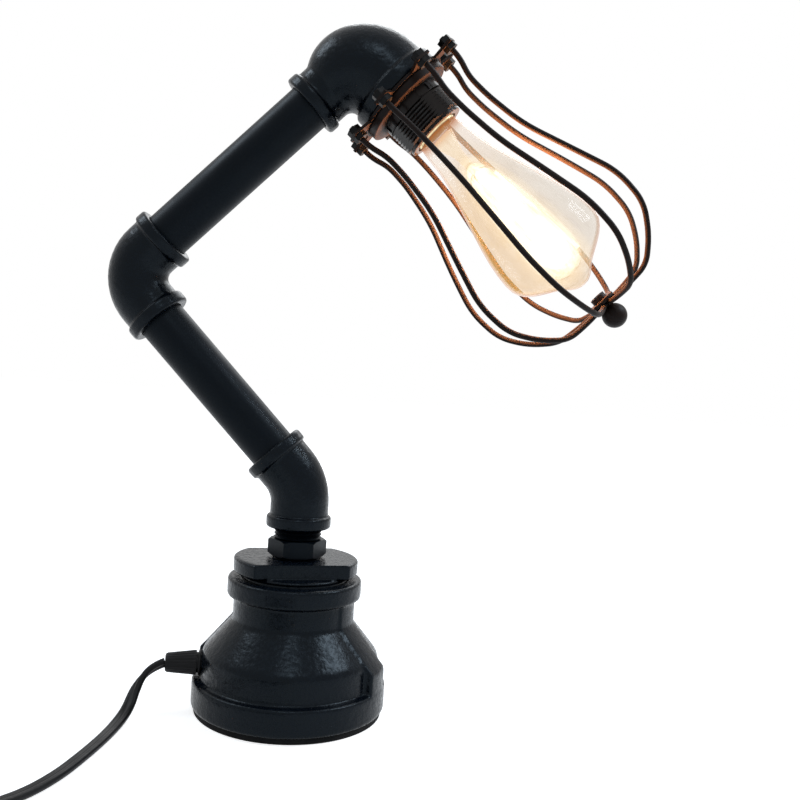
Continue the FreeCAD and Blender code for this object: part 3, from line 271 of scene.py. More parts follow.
# ------------------------------------------------------------------ finishes
@dataclass(frozen=True)
class Finish:
    """What every finish has: its own name and the record's slot it belongs to."""

    name: str
    slot: str

    def shade(self, bench: Bench) -> Signal:
        """The finish's shader."""
        raise NotImplementedError

    def material(self) -> bpy.types.Material:
        """The finish as a material, made once."""
        known = bpy.data.materials.get(self.name)
        if known is not None:
            return known
        bench = Bench(self.name)
        return bench.done(self.shade(bench))


@dataclass(frozen=True)
class CastIron(Finish):
    """Black semi-gloss paint over the bumpy skin of a sand casting."""

    colour: Colour = (0.0012, 0.0026, 0.0052)
    dust: Colour = (0.011, 0.014, 0.02)
    grain_mm: float = 1.8
    pit_mm: float = 4.6
    relief_mm: float = 0.26
    roughness: float = 0.2
    gloss: float = 0.13

    def shade(self, bench: Bench) -> Signal:
        """Grain and shallow pits in the paint, a little paler on worn edges."""
        grain = bench.noise(self.grain_mm, 1.5, 0.45)
        pits = bench.noise(self.pit_mm, 2.0, 0.5)
        cloud = bench.noise(11 * self.pit_mm, 2.0)
        worn = bench.edges(0.53, 0.62) * bench.noise(2.6, 3.0).span(0.42, 0.66)
        colour = bench.blend(worn * 0.55 + cloud.span(0.45, 0.75) * 0.12, self.colour, self.dust)
        height = grain * 0.5 + pits * 0.85
        return bench.surface(
            Base_Color=colour,
            Roughness=self.roughness + grain.span(0.35, 0.7, 0.0, 0.16) + worn * 0.12,
            Specular_IOR_Level=self.gloss,
            Specular_Tint=SKY_TINT,
            Normal=bench.bump(height, self.relief_mm),
        )


@dataclass(frozen=True)
class SatinPaint(Finish):
    """Thin satin black paint on drawn or turned steel."""

    colour: Colour = (0.0011, 0.0024, 0.0046)
    worn_colour: Colour = (0.016, 0.0155, 0.0155)
    grain_mm: float = 0.7
    relief_mm: float = 0.035
    roughness: float = 0.4
    wear: float = 0.5
    gloss: float = 0.1
    gloss_tint: Colour = SKY_TINT

    def shade(self, bench: Bench) -> Signal:
        """A faint orange peel, cloudy gloss and rubbed edges."""
        peel = bench.noise(self.grain_mm, 2.0)
        cloud = bench.noise(24.0, 3.0)
        rub = bench.edges(0.53, 0.64) * bench.noise(1.7, 2.0).span(0.4, 0.65) * self.wear
        return bench.surface(
            Base_Color=bench.blend(rub, self.colour, self.worn_colour),
            Roughness=self.roughness + cloud.span(0.3, 0.7, -0.05, 0.07) + rub * 0.1,
            Specular_IOR_Level=self.gloss,
            Specular_Tint=self.gloss_tint,
            Normal=bench.bump(peel, self.relief_mm),
        )


@dataclass(frozen=True)
class Moulded(Finish):
    """Moulded plastic or rubber with a fine grain."""

    colour: Colour = (0.012, 0.012, 0.0125)
    roughness: float = 0.5
    grain_mm: float = 0.45
    relief_mm: float = 0.03
    gloss: float = 0.14

    def shade(self, bench: Bench) -> Signal:
        """A fine grain and slow changes of gloss."""
        grain = bench.noise(self.grain_mm, 2.0)
        cloud = bench.noise(9.0, 2.0)
        tint = tuple(1.5 * part for part in self.colour)
        return bench.surface(
            Base_Color=bench.blend(cloud.span(0.35, 0.75) * 0.6, self.colour, tint),
            Roughness=self.roughness + cloud.span(0.3, 0.7, -0.04, 0.06),
            Specular_IOR_Level=self.gloss,
            Normal=bench.bump(grain, self.relief_mm),
        )


@dataclass(frozen=True)
class Plated(Finish):
    """Bare or plated metal, a little tarnished."""

    colour: Colour = (0.62, 0.62, 0.64)
    tarnish: Colour = (0.3, 0.29, 0.28)
    roughness: float = 0.28

    def shade(self, bench: Bench) -> Signal:
        """Fine scratches and cloudy tarnish."""
        cloud = bench.noise(3.4, 4.0)
        scratch = bench.noise(0.25, 1.0)
        return bench.surface(
            Base_Color=bench.blend(cloud.span(0.45, 0.8) * 0.7, self.colour, self.tarnish),
            Metallic=1.0,
            Roughness=self.roughness + cloud.span(0.4, 0.7, 0.0, 0.18),
            Normal=bench.bump(scratch, 0.01),
        )


@dataclass(frozen=True)
class TintedGlass(Finish):
    """Thin tinted glass of a lit bulb: pale face on, deeper in colour where it turns away, its upper side
    paler with a painted reflection.
    """

    colour: Colour = (0.765, 0.43, 0.09)
    painted_reflection_colour: Colour = (0.62, 0.52, 0.4)
    edge_colour: Colour = (0.33, 0.16, 0.09)
    neck_colour: Colour = (0.8, 0.6, 0.42)
    painted_cap_glow_colour: Colour = (0.5, 0.14, 0.02)
    clear: float = 0.17
    dense: float = 0.86
    roughness: float = 0.03

    def shade(self, bench: Bench) -> Signal:
        """Gloss over a softly lit film that thickens towards the rim, with painted reflection streaks
        along it.
        """
        away = bench.node("ShaderNodeLayerWeight", None, {"Blend": 0.5}, "Facing")
        # Thin streaks along the glass in the rim colour are painted reflections of the cage wires.
        painted_reflection_streaks = bench.noise(3.4, 1.5, 0.5, bench.in_head(14.0)).span(0.6, 0.68, 0.0, 0.3)
        film = away.span(0.64, 0.92)
        haze = bench.noise(14.0, 2.0).span(0.3, 0.7, 0.0, 0.04)
        place = bench.in_head()
        upwards = bench.node("ShaderNodeSeparateXYZ", None, {0: place}, "X")
        ahead = bench.node("ShaderNodeSeparateXYZ", None, {0: place}, "Z")
        neck = ahead.span(62.0 * MM, 100.0 * MM, 1.0, 0.0)
        # At its root, where it goes into the cap, the glass gets a painted orange glow and is made denser.
        root = ahead.span(58.0 * MM, 66.0 * MM, 1.0, 0.0)
        # The upper side of the glass is blended towards a pale painted reflection of the white surround.
        glass_and_painted_reflection = bench.blend(upwards.span(-26.0 * MM, 10.0 * MM), self.painted_reflection_colour, self.colour)
        tint = bench.blend(root, bench.blend(neck, glass_and_painted_reflection, self.neck_colour), self.painted_cap_glow_colour)
        return bench.surface(
            Base_Color=(0.0, 0.0, 0.0),
            Emission_Color=bench.blend(film + painted_reflection_streaks, tint, self.edge_colour),
            Emission_Strength=1.0,
            Roughness=self.roughness,
            Alpha=film * (self.dense - self.clear) + self.clear + haze - neck * 0.05 + root * 0.3,
            Specular_IOR_Level=0.12,
            Coat_Weight=0.2,
            Coat_Roughness=0.02,
        )


@dataclass(frozen=True)
class Glow(Finish):
    """A lit rod, or the soft light round it, which fades where it turns away."""

    colour: Colour = (1.0, 0.82, 0.5)
    power: float = 6.0
    alpha: float = 1.0
    fade: float = 0.0

    def shade(self, bench: Bench) -> Signal:
        """Even light with slow streaks, thinner towards its own rim."""
        streak = bench.noise(2.8, 4.0, 0.6, bench.in_head(7.0)).span(0.36, 0.6, 0.4, 1.0)
        away = bench.node("ShaderNodeLayerWeight", None, {"Blend": 0.5}, "Facing")
        return bench.surface(
            Base_Color=(0.0, 0.0, 0.0),
            Emission_Color=bench.blend(streak, (1.0, 0.72, 0.34), self.colour),
            Emission_Strength=self.power,
            Roughness=1.0,
            Specular_IOR_Level=0.0,
            Alpha=streak * (1.0 - away) ** self.fade * self.alpha,
        )


IRON = CastIron("cast_iron_paint", "black_iron")
FITTING_IRON = CastIron("fitting_paint", "black_iron", relief_mm=0.23, roughness=0.2)
PIPE_PAINT = SatinPaint("pipe_paint", "black_steel", roughness=0.38)
CAGE_PAINT = SatinPaint(
    "cage_paint", "black_steel", (0.017, 0.0095, 0.0065), (0.03, 0.017, 0.011), 0.9, 0.006, 0.44, 0.15,
    0.1,
)
NUT_PAINT = SatinPaint(
    "nut_oxide", "black_nuts", (0.008, 0.0062, 0.0055), (0.02, 0.015, 0.011), 0.4, 0.02, 0.32, 0.6
)
RUBBER = Moulded("pad_rubber", "rubber", (0.0085, 0.0085, 0.0085), 0.8, 0.8, 0.08)
NYLON = Moulded("relief_nylon_black", "relief_nylon", (0.0075, 0.0075, 0.008), 0.45, 0.3, 0.02)
PHENOLIC = Moulded(
    "socket_phenolic_black", "socket_phenolic", (0.013, 0.0092, 0.0075), 0.2, 0.6, 0.006
)
CORD_VINYL = Moulded("cord_vinyl", "cord_jacket", (0.0062, 0.0062, 0.0068), 0.38, 0.5, 0.015)
STRAP = Moulded("tie_strap", "tie_plastic", (0.02, 0.02, 0.021), 0.5, 0.5, 0.03)
SWITCH_CASE = Moulded("switch_case", "switch_plastic", (0.011, 0.011, 0.0115), 0.45, 0.35, 0.03)
ROCKER_GLOSS = Moulded("rocker_gloss", "rocker_plastic", (0.016, 0.016, 0.017), 0.22, 0.8, 0.01)
ZINC = Plated("zinc_plate", "zinc_steel")
BRASS = Plated("plain_brass", "brass", (0.78, 0.58, 0.28), (0.42, 0.28, 0.12), 0.25)
CAP_BRASS = Plated("bulb_cap_brass", "bulb_cap", (0.8, 0.66, 0.38), (0.5, 0.36, 0.18), 0.3)
INSULATOR = Moulded("black_glass", "bulb_insulator", (0.02, 0.018, 0.022), 0.12, 1.0, 0.005)
BULB_GLASS = TintedGlass("bulb_amber_glass", "amber_glass")
# Its second colour is the painted reflection on the glass's upper side and its fifth the painted orange
# glow at the root.
STEM_GLASS = TintedGlass("bulb_stem_glass", "stem_glass", (1.0, 0.84, 0.6), (1.0, 0.84, 0.6),
                         (0.62, 0.28, 0.08), (1.0, 0.8, 0.52), (0.6, 0.2, 0.04), 0.4, 0.9)
FILAMENT = Glow("filament_light", "filament_glow", (1.0, 0.84, 0.5), 3.0)
WIRE = Plated("support_wire_steel", "support_wire", (0.55, 0.5, 0.44), (0.3, 0.26, 0.22), 0.3)

CARRIED = {
    RUBBER: ("base_pad",),
    NYLON: ("relief_locknut",),
    ZINC: ("mount_disc", "lamp_nipple", "lamp_locknuts", "switch_screws"),
    PHENOLIC: ("socket_cap",),
    BRASS: (
        "screw_shell", "centre_contact", "terminal_screws", "switch_terminals",
        "bulb_contact", "plug_blades",
    ),
    CAP_BRASS: ("bulb_shell",),
    INSULATOR: ("bulb_insulator",),
    WIRE: ("filament_supports",),
    FILAMENT: ("filaments",),
    CORD_VINYL: ("lead_base", "lead_lower", "lead_upper", "lead_head"),
    STRAP: ("cord_tie",),
}


# ------------------------------------------------------------------ making pieces
def add_piece(
    name: str,
    mesh: bpy.types.Mesh,
    finish: Finish,
    body: str,
    nodes: Sequence[str] = (),
) -> bpy.types.Object:
    """Puts a finished mesh on the lamp.

    Args:
        name: the piece's own name.
        mesh: its mesh, in the lamp's frame.
        finish: what it is dressed in.
        body: the moving body that carries it.
        nodes: the nodes that it stands for.

    Returns:
        The new piece.
    """
    mesh.materials.clear()
    mesh.materials.append(finish.material())
    piece = bpy.data.objects.new(name, mesh)
    bpy.context.scene.collection.objects.link(piece)
    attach(piece, body)
    if nodes:
        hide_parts(*nodes)
    log.info("%s: %d faces on %s", name, len(mesh.polygons), body)
    return piece


def show_to_the_eye_alone(piece: bpy.types.Object) -> None:
    """Keeps a glowing piece from lighting or shading the others: the lamp in it does that."""
    piece.visible_shadow = False
    piece.visible_diffuse = False
    piece.visible_glossy = False


def mesh_of(form: bmesh.types.BMesh, name: str, crease: float = 35.0) -> bpy.types.Mesh:
    """Ends a bmesh as a smooth mesh with its sharp edges kept.

    Args:
        form: the bmesh, which is freed.
        name: the mesh's name.
        crease: degrees from which an edge stays sharp.

    Returns:
        The mesh.
    """
    form.normal_update()
    for face in form.faces:
        face.smooth = True
    for edge in form.edges:
        edge.smooth = edge.calc_face_angle(0.0) < math.radians(crease)
    mesh = bpy.data.meshes.new(name)
    form.to_mesh(mesh)
    form.free()
    return mesh


def lathe(
    outline: Sequence[tuple[float, float]], steps: int, closed: bool = True
) -> bmesh.types.BMesh:
    """Spins an outline about the local Z axis.

    Args:
        outline: (radius, height) corners in metres.
        steps: how many columns go round.
        closed: whether the outline's last corner joins its first.

    Returns:
        The turned bmesh, its poles merged and its faces outwards.
    """
    form = bmesh.new()
    corners = [form.verts.new((radius, 0.0, height)) for radius, height in outline]
    pairs = list(zip(corners, corners[1:]))
    if closed:
        pairs.append((corners[-1], corners[0]))
    chain = [form.edges.new(pair) for pair in pairs]
    bmesh.ops.spin(
        form, geom=corners + chain, cent=(0, 0, 0), axis=(0, 0, 1),
        angle=math.tau, steps=steps, use_merge=True,
    )
    bmesh.ops.remove_doubles(form, verts=form.verts, dist=1e-6)
    bmesh.ops.recalc_face_normals(form, faces=form.faces)
    return form


@dataclass
class Casting:
    """A node's own solid with its joins and edges softened as a mould leaves them."""

    node: str
    finish: Finish
    voxel_mm: float = 0.0
    relax: int = 0
    crease: float = 32.0

    def build(self) -> bpy.types.Object:
        """Makes the softened piece, which stands for the node."""
        form = bmesh.new()
        form.from_mesh(frame["nodes"][self.node].data)
        bmesh.ops.remove_doubles(form, verts=form.verts, dist=2e-6)
        bmesh.ops.dissolve_degenerate(form, dist=1e-7, edges=form.edges)
        mesh = mesh_of(form, f"{self.node}_dressed", self.crease)
        piece = add_piece(
            f"{self.node}_dressed", mesh, self.finish, BODY_OF[self.node], (self.node,)
        )
        if self.voxel_mm:
            cells = piece.modifiers.new("mould", "REMESH")
            cells.mode = "VOXEL"
            cells.voxel_size = self.voxel_mm * MM
            cells.use_smooth_shade = True
            soft = piece.modifiers.new("soften", "SMOOTH")
            soft.factor = 0.5
            soft.iterations = self.relax
        return piece


# ------------------------------------------------------------------ the studio
@dataclass
class Studio:
    """The camera, the pale floor, the soft lights and the world."""

    eye: Point = (0.06266, -0.51917, 0.20024)
    yaw: float = -1.0746
    pitch: float = 2.3442
    roll: float = -3.6706
    focal: float = 924.55
    image: float = 800.0
    sensor: float = 36.0
    floor_half: float = 4.0
    shadow_reach: tuple[float, float] = (0.2, 0.8)
    shadow_floor: float = 0.8
    open_floor: float = 0.975
    lamps: tuple[tuple[str, Point, float, float, Colour], ...] = (
        ("left", (-0.92, 0.1, 1.2), 0.5, 5.0, (0.8, 0.9, 1.0)),
        ("right", (1.04, 0.02, 1.22), 0.6, 13.0, (0.8, 0.9, 1.0)),
        ("rear", (0.25, 1.15, 1.1), 1.0, 8.0, (0.95, 0.98, 1.0)),
        ("front", (0.1, -0.93, 1.26), 0.4, 2.8, (0.8, 0.9, 1.0)),
    )
    aim: Point = (0.02, 0.0, 0.2)

    def camera(self) -> None:
        """The camera, from its place, three turns and focal length in pixels."""
        yaw, pitch, roll = (math.radians(turn) for turn in (self.yaw, self.pitch, self.roll))
        ahead = Vector((math.sin(yaw) * math.cos(pitch), math.cos(yaw) * math.cos(pitch),
                        -math.sin(pitch)))
        right = Vector((math.cos(yaw), -math.sin(yaw), 0.0))
        down = ahead.cross(right)
        across = math.cos(roll) * right + math.sin(roll) * down
        fall = math.cos(roll) * down - math.sin(roll) * right
        turn = Matrix((across, -fall, -ahead)).transposed().to_4x4()
        data = bpy.data.cameras.new("camera")
        data.sensor_width = self.sensor
        data.lens = self.focal / self.image * self.sensor
        data.clip_start = 0.01
        camera = bpy.data.objects.new("camera", data)
        bpy.context.scene.collection.objects.link(camera)
        camera.matrix_world = Matrix.Translation(self.eye) @ turn
        bpy.context.scene.camera = camera

    def floor(self) -> None:
        """A white floor to the eye, glass and gloss, which keeps soft shadows."""
        form = bmesh.new()
        bmesh.ops.create_grid(form, x_segments=2, y_segments=2, size=self.floor_half)
        bmesh.ops.translate(form, vec=(0.0, 0.0, -0.0004), verts=form.verts)
        mesh = bpy.data.meshes.new("studio_floor")
        form.to_mesh(mesh)
        form.free()
        bench = Bench("studio_floor")
        paint = bench.node("ShaderNodeBsdfDiffuse", None, {"Color": (0.8, 0.8, 0.8)})
        bounce = bench.node("ShaderNodeBsdfDiffuse", None, {"Color": (0.4, 0.475, 0.575)})
        away = bench.node("ShaderNodeVectorMath", {"operation": "LENGTH"}, {0: bench.place()}, "Value")
        glow = bench.blend(away.span(*self.shadow_reach), (self.shadow_floor,) * 3, (self.open_floor,) * 3)
        light = bench.node("ShaderNodeEmission", None, {"Color": glow, "Strength": 1.0})
        both = bench.node("ShaderNodeAddShader", None, {0: paint, 1: light})
        mesh.materials.append(bench.done(bench.node("ShaderNodeMixShader", None,
                                                    {0: bench.seen(), 1: bounce, 2: both})))
        floor = bpy.data.objects.new("studio_floor", mesh)
        bpy.context.scene.collection.objects.link(floor)

    def lights(self) -> None:
        """Four broad soft lights, all aimed at the lamp."""
        for name, place, width, power, colour in self.lamps:
            data = bpy.data.lights.new(name, "AREA")
            data.shape = "SQUARE"
            data.size = width
            data.energy = power
            data.color = colour
            light = bpy.data.objects.new(name, data)
            bpy.context.scene.collection.objects.link(light)
            light.location = place
            towards = Vector(self.aim) - Vector(place)
            light.rotation_mode = "QUATERNION"
            light.rotation_quaternion = towards.to_track_quat("-Z", "Y")

    def world(self) -> None:
        """A white surround for the eye, glass and gloss, and a faint grey one for the light."""
        world = bpy.data.worlds.new("studio")
        world.use_nodes = True
        bpy.context.scene.world = world
        tree = world.node_tree
        tree.nodes.clear()
        bench = Bench.__new__(Bench)
        bench.tree = tree
        grey = bench.node("ShaderNodeBackground", None, {"Color": (0.72, 0.86, 1.0), "Strength": 0.04})
        white = bench.node("ShaderNodeBackground", None, {"Color": (1.0, 1.0, 1.0), "Strength": 1.0})
        shade = bench.node("ShaderNodeMixShader", None, {0: bench.seen(), 1: grey, 2: white})
        bench.node("ShaderNodeOutputWorld", None, {"Surface": shade})

    def build(self) -> None:
        """Sets the whole studio up."""
        self.camera()
        self.floor()
        self.lights()
        self.world()
        bpy.context.scene.view_settings.view_transform = "Standard"


# ------------------------------------------------------------------ the cord
class Lie(Enum):
    """How the flat cord is turned about its own line."""

    FLAT = 0.0
    LEANING = math.radians(45)


@dataclass
class FlatCord:
    """One length of the flat twin cord, swept along its own smooth line."""

    name: str
    route: Sequence[Point]
    length: float
    far_end: str
    lay: str
    nodes: tuple[str, ...]
    with_pieces: tuple[str, ...]
    start_lie: Lie = Lie.FLAT
    wide: float = 7.0 * MM
    thick: float = 3.6 * MM
    settle: float = 0.045
    lobe_steps: int = 9

    def centreline(self) -> list[Vector]:
        """The points of the route's NURBS spline."""
        curve = bpy.data.curves.new(f"{self.name}_line", "CURVE")
        curve.dimensions = "3D"
        curve.resolution_u = 5
        spline = curve.splines.new("NURBS")
        spline.points.add(len(self.route) - 1)
        for knot, place in zip(spline.points, self.route):
            knot.co = (*place, 1.0)
        spline.order_u = 3
        spline.use_endpoint_u = True
        holder = bpy.data.objects.new(f"{self.name}_line", curve)
        line = bpy.data.meshes.new_from_object(holder)
        points = [vertex.co.copy() for vertex in line.vertices]
        bpy.data.objects.remove(holder)
        bpy.data.curves.remove(curve)
        bpy.data.meshes.remove(line)
        return points

    def section(self) -> list[tuple[float, float]]:
        """The twin outline: two round lobes with a groove between them."""
        lobe = self.thick / 2
        middle = (self.wide - self.thick) / 2
        spread = math.radians(118)
        right = []
        for step in range(self.lobe_steps):
            angle = -spread + 2 * spread * step / (self.lobe_steps - 1)
            right.append((middle + lobe * math.cos(angle), lobe * math.sin(angle)))
        groove = 0.58 * lobe
        left = [(-across, -up) for across, up in right]
        return right + [(0.0, groove)] + left + [(0.0, -groove)]

    def frames(self, line: list[Vector]) -> list[Matrix]:
        """A frame at each point: X across the cord, Y through it, Z ahead."""
        frames = []
        run = 0.0
        for index, place in enumerate(line):
            before = line[max(index - 1, 0)]
            after = line[min(index + 1, len(line) - 1)]
            ahead = (after - before).normalized()
            run += (place - before).length
            share = max(0.0, 1.0 - run / self.settle)
            across = ahead.cross(Vector((0.0, 0.0, 1.0))).normalized()
            turn = Matrix.Rotation(self.start_lie.value * share * share * (3 - 2 * share), 3, ahead)
            across = turn @ across
            through = ahead.cross(across)
            frame_here = Matrix((across, through, ahead)).transposed().to_4x4()
            frames.append(Matrix.Translation(place) @ frame_here)
        return frames

    def build(self) -> bpy.types.Object:
        line = self.centreline()
        frames = self.frames(line)
        form = bmesh.new()
        ring = [form.verts.new((across, up, 0.0)) for across, up in self.section()]
        edges = [form.edges.new(pair) for pair in zip(ring, ring[1:] + ring[:1])]
        bmesh.ops.transform(form, matrix=frames[0], verts=form.verts)
        caps = list(edges)
        for here, there in zip(frames, frames[1:]):
            grown = bmesh.ops.extrude_edge_only(form, edges=edges)["geom"]
            edges = [part for part in grown if isinstance(part, bmesh.types.BMEdge)]
            verts = [part for part in grown if isinstance(part, bmesh.types.BMVert)]
            bmesh.ops.transform(form, matrix=there @ here.inverted(), verts=verts)
        bmesh.ops.holes_fill(form, edges=caps + edges)
        bmesh.ops.recalc_face_normals(form, faces=form.faces)
        mesh = mesh_of(form, self.name, 70.0)
        piece = add_piece(self.name, mesh, CORD_VINYL, "root", self.nodes)
        return piece


@dataclass
class Coil:
    """The put-away turns of the cord: two columns of three layers."""

    middle: tuple[float, float] = (-0.058, -0.212)
    columns: tuple[float, float] = (0.0349, 0.0421)
    layers: tuple[float, float, float] = (0.0027, 0.0063, 0.0099)
    order: tuple[tuple[int, int], ...] = ((1, 0), (0, 0), (0, 1), (1, 1), (0, 2), (1, 2))
    start: float = 280.0
    end: float = 292.0
    knots: int = 16

    def route(self) -> list[Point]:
        """The control points of all the turns, one after the other."""
        total = 360.0 * len(self.order) + self.end - self.start
        count = round(self.knots * total / 360.0)
        pull = 0.75 + 0.25 * math.cos(math.tau / self.knots)
        points = []
        for index in range(count + 1):
            wound = total * index / count
            turn = min(int(wound / 360.0), len(self.order) - 1)
            share = min((wound - 360.0 * turn) / 60.0, 1.0) if turn else 1.0
            share = share * share * (3 - 2 * share)
            column, layer = self.order[turn]
            old_column, old_layer = self.order[max(turn - 1, 0)]
            radius = self.columns[old_column] + share * (self.columns[column]
                                                         - self.columns[old_column])
            height = self.layers[old_layer] + share * (self.layers[layer]
                                                       - self.layers[old_layer])
            angle = math.radians(self.start + wound)
            points.append((
                self.middle[0] + radius / pull * math.cos(angle),
                self.middle[1] + radius / pull * math.sin(angle),
                height,
            ))
        return points


@dataclass
class CordSet:
    """The flat twin cord, its in-line switch and its plug."""

    floor: float = 1.8 * MM
    switch_way: tuple[float, float] = (-0.28, -0.96)
    coil: Coil = field(default_factory=Coil)

    def lead(self) -> FlatCord:
        """From the strain relief down to the floor and on to the switch."""
        low = self.floor
        route = [
            (-0.0677, -0.0144, 0.0256), (-0.0720, -0.0159, 0.0241), (-0.0777, -0.0191, 0.0198),
            (-0.0810, -0.0243, 0.0129), (-0.0817, -0.0337, 0.0052), (-0.0834, -0.0470, low),
            (-0.0842, -0.0640, low), (-0.0868, -0.0860, low), (-0.0905, -0.1080, low),
            (-0.0980, -0.1280, low), (-0.1065, -0.1470, 0.0050), (-0.11338, -0.17016, 0.005),
        ]
        return FlatCord("cord_to_switch", route, 0.175, "fitting", "loose", ("cord_lead",),
                        ("switch_base_dressed", "switch_top_dressed"), Lie.LEANING)

    def long_end(self) -> FlatCord:
        """From the switch through the coil to the plug."""
        low = self.floor
        out = (-0.12486, -0.20952, 0.005)
        route = [out, (-0.12976, -0.22632, 0.0042), (-0.1290, -0.2450, low),
                 (-0.1060, -0.2575, low), (-0.0760, -0.2585, low)]
        route += self.coil.route()
        route += [(-0.0269, -0.2492, 0.0085), (-0.0080, -0.2360, 0.0072), (0.0014, -0.2294, 0.007)]
        return FlatCord("cord_to_plug", route, 1.6, "plug", "coiled",
                        ("cord_link", "cord_coil", "cord_tail"),
                        ("plug_body_dressed", "plug_blades", "cord_tie"))

    def build(self) -> None:
        """Makes the pieces on the cord, then the cord itself."""
        for node, finish in (("switch_base", SWITCH_CASE), ("switch_top", SWITCH_CASE),
                             ("switch_rocker", ROCKER_GLOSS), ("plug_body", SWITCH_CASE)):
            Casting(node, finish).build()
        self.lead().build()
        self.long_end().build()


# ------------------------------------------------------------------ base and arm
@dataclass
class StrainRelief:
    """The tapered grommet at the cord's way out, with fine ribs along its sleeve."""

    angle: float = 192.0
    shell: float = 49.65
    height: float = 25.6
    ribs: int = 22
    bore: float = 2.75

    def build(self) -> bpy.types.Object:
        """Turns the sleeve and draws every other column of it inwards."""
        outline = [(self.bore, -12.0), (5.0, -12.0), (5.0, 0.1), (6.7, 0.1), (6.95, 0.4),
                   (6.95, 1.2), (6.7, 1.5), (5.6, 1.55), (5.6, 2.6), (6.75, 2.7), (6.7, 4.0),
                   (6.2, 9.0), (5.75, 14.0), (5.3, 18.4), (4.9, 19.2), (4.2, 19.6),
                   (self.bore, 19.6)]
        form = lathe([(radius * MM, rise * MM) for radius, rise in outline], 4 * self.ribs)
        valleys = []
        for vertex in form.verts:
            place = vertex.co
            across = math.hypot(place.x, place.y)
            column = round(math.atan2(place.y, place.x) / math.tau * 4 * self.ribs)
            if 3.5 * MM < place.z < 18.0 * MM and across > 4.5 * MM and column % 4 in (0, 1):
                valleys.append(vertex)
        bmesh.ops.scale(form, vec=(0.94, 0.94, 1.0), verts=valleys)
        out = Vector((math.cos(math.radians(self.angle)), math.sin(math.radians(self.angle)), 0))
        turn = Vector((0, 0, 1)).rotation_difference(out).to_matrix().to_4x4()
        place = Matrix.Translation(out * self.shell * MM + Vector((0, 0, self.height * MM)))
        bmesh.ops.transform(form, matrix=place @ turn, verts=form.verts)
        return add_piece("strain_relief_ribbed", mesh_of(form, "strain_relief_ribbed", 50.0),
                         NYLON, "root", ("strain_relief",))


@dataclass
class PipeArm:
    """The base and the two arms: softened castings, the painted nipple and pipes, and the strain relief.
    """

    castings: tuple[tuple[str, float], ...] = (
        ("base_reducer", 0.9), ("reducing_bushing", 0.6),
    )
    elbows: tuple[tuple[str, float], ...] = (
        ("elbow_45", 0.55), ("elbow_90", 0.55), ("reducing_elbow", 0.7),
    )
    steel: tuple[str, ...] = ("hex_nipple", "lower_pipe", "upper_pipe")
    relax: int = 4

    def build(self) -> None:
        """Builds the castings and the steel pieces in order."""
        for node, voxel in self.castings:
            Casting(node, IRON, voxel, self.relax).build()
        for node, voxel in self.elbows:
            Casting(node, FITTING_IRON, voxel, self.relax).build()
        for node in self.steel:
            Casting(node, PIPE_PAINT).build()
        StrainRelief().build()


# ------------------------------------------------------------------ head, cage and bulb
@dataclass
class Cage:
    """The collar, its ring and nuts, the eight wires, the hub and the ball."""

    painted: tuple[str, ...] = ("cage_collar", "shade_ring", "cage_hub", "ball_finial")
    nuts: tuple[str, ...] = ("cage_nuts_upper", "cage_nuts_lower")
    wires: int = 8

    def build(self) -> None:
        """Dresses every piece of the cage."""
        ribs = tuple(f"cage_rib_{number}" for number in range(1, self.wires + 1))
        for node in self.painted + ribs:
            Casting(node, CAGE_PAINT).build()
        for node in self.nuts:
            Casting(node, NUT_PAINT).build()
        Casting("socket_body", PHENOLIC).build()


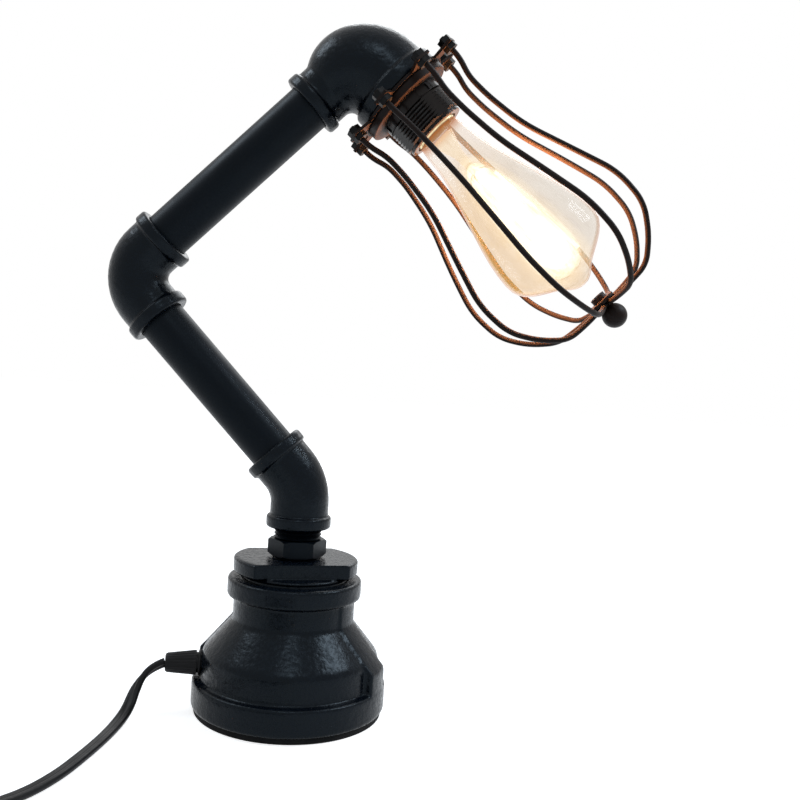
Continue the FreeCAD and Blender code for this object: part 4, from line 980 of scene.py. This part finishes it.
@dataclass
class Bulb:
    """The pear bulb: its glass, its stem and the light of its filaments."""

    outline: tuple[tuple[float, float], ...] = (
        (0.40, 58.0), (0.425, 66.0), (0.45, 75.0), (0.52, 86.0), (0.645, 99.0), (0.78, 113.5),
        (0.93, 130.0), (1.0, 147.0), (0.955, 154.5), (0.78, 160.5), (0.52, 165.5),
        (0.33, 169.0), (0.24, 172.4), (0.12, 174.9), (0.0, 175.4),
    )
    radius: float = 32.6
    wall: float = 0.8
    columns: int = 64
    halo: tuple[tuple[float, float], ...] = (
        (0.0, 84.0), (4.0, 87.0), (7.5, 94.0), (9.8, 105.0), (11.4, 118.0), (12.4, 132.0),
        (13.0, 147.0), (12.4, 156.0), (8.0, 162.0), (0.0, 164.5),
    )
    shells: tuple[tuple[float, float, float, Colour], ...] = (
        (1.5, 0.35, 1.5, (1.0, 0.88, 0.66)),
        (1.15, 0.8, 2.4, (1.0, 0.95, 0.82)),
        (0.8, 1.0, 3.6, (1.0, 0.98, 0.92)),
    )
    lamp_watts: float = 4.4
    lamp_place: float = 118.0
    near_pieces: tuple[str, ...] = (
        "cage_", "shade_ring", "ball_finial", "socket_", "screw_shell", "bulb_shell",
    )

    def glass(self) -> None:
        """The hollow envelope, spun from its outline and smoothed."""
        form = lathe([(share * self.radius * MM, rise * MM) for share, rise in self.outline],
                     self.columns, closed=False)
        bmesh.ops.transform(form, matrix=HEAD, verts=form.verts)
        piece = add_piece("bulb_glass_blown", mesh_of(form, "bulb_glass_blown", 180.0),
                          BULB_GLASS, "head", ("bulb_glass",))
        piece.visible_shadow = False
        wall = piece.modifiers.new("wall", "SOLIDIFY")
        wall.thickness = self.wall * MM
        wall.offset = -1.0
        smooth = piece.modifiers.new("smooth", "SUBSURF")
        smooth.levels = 1
        smooth.render_levels = 1

    def light(self) -> None:
        """The soft column of light round the filaments, and the lamp that it throws."""
        for number, (scale, alpha, power, colour) in enumerate(self.shells):
            middle = 124.0
            outline = [(radius * scale * MM, (middle + (rise - middle) * (0.6 + 0.4 * scale)) * MM)
                       for radius, rise in self.halo]
            form = lathe(outline, self.columns, closed=False)
            bmesh.ops.transform(form, matrix=HEAD, verts=form.verts)
            finish = Glow(f"filament_halo_{number}", "filament_glow", colour, power, alpha, 1.6)
            piece = add_piece(f"filament_halo_{number}",
                              mesh_of(form, f"filament_halo_{number}", 180.0), finish, "head")
            show_to_the_eye_alone(piece)
            smooth = piece.modifiers.new("smooth", "SUBSURF")
            smooth.levels = 1
            smooth.render_levels = 1
        data = bpy.data.lights.new("bulb_light", "POINT")
        data.energy = self.lamp_watts
        data.color = (1.0, 0.53, 0.25)
        data.shadow_soft_size = 0.016
        lamp = bpy.data.objects.new("bulb_light", data)
        lamp.visible_glossy = False
        bpy.context.scene.collection.objects.link(lamp)
        lamp.matrix_world = HEAD @ Matrix.Translation((0.0, 0.0, self.lamp_place * MM))
        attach(lamp, "head")
        lit = bpy.data.collections.new("lit_by_the_bulb")
        for piece in bpy.data.objects:
            if piece.name.startswith(self.near_pieces):
                lit.objects.link(piece)
        lamp.light_linking.receiver_collection = lit

    def build(self) -> None:
        """Makes the glass, the stem and the light."""
        self.glass()
        Casting("bulb_stem", STEM_GLASS).build().visible_shadow = False
        show_to_the_eye_alone(frame["nodes"]["filaments"])
        self.light()


def dress_carried_nodes() -> None:
    """Gives every node that stays its own finish."""
    for finish, nodes in CARRIED.items():
        for node in nodes:
            piece = frame["nodes"][node]
            piece.data.materials.clear()
            piece.data.materials.append(finish.material())
            log.info("%s: dressed in %s", node, finish.name)


def main() -> None:
    """Builds the studio and the lamp, sub-assembly by sub-assembly."""
    logging.basicConfig(level=logging.INFO, format="%(message)s")
    builders: Iterable[object] = (Studio(), CordSet(), PipeArm(), Cage(), Bulb())
    for builder in builders:
        builder.build()
        log.info("built %s", type(builder).__name__)
    dress_carried_nodes()
    bpy.context.view_layer.update()


if __name__ == "__main__":
    main()
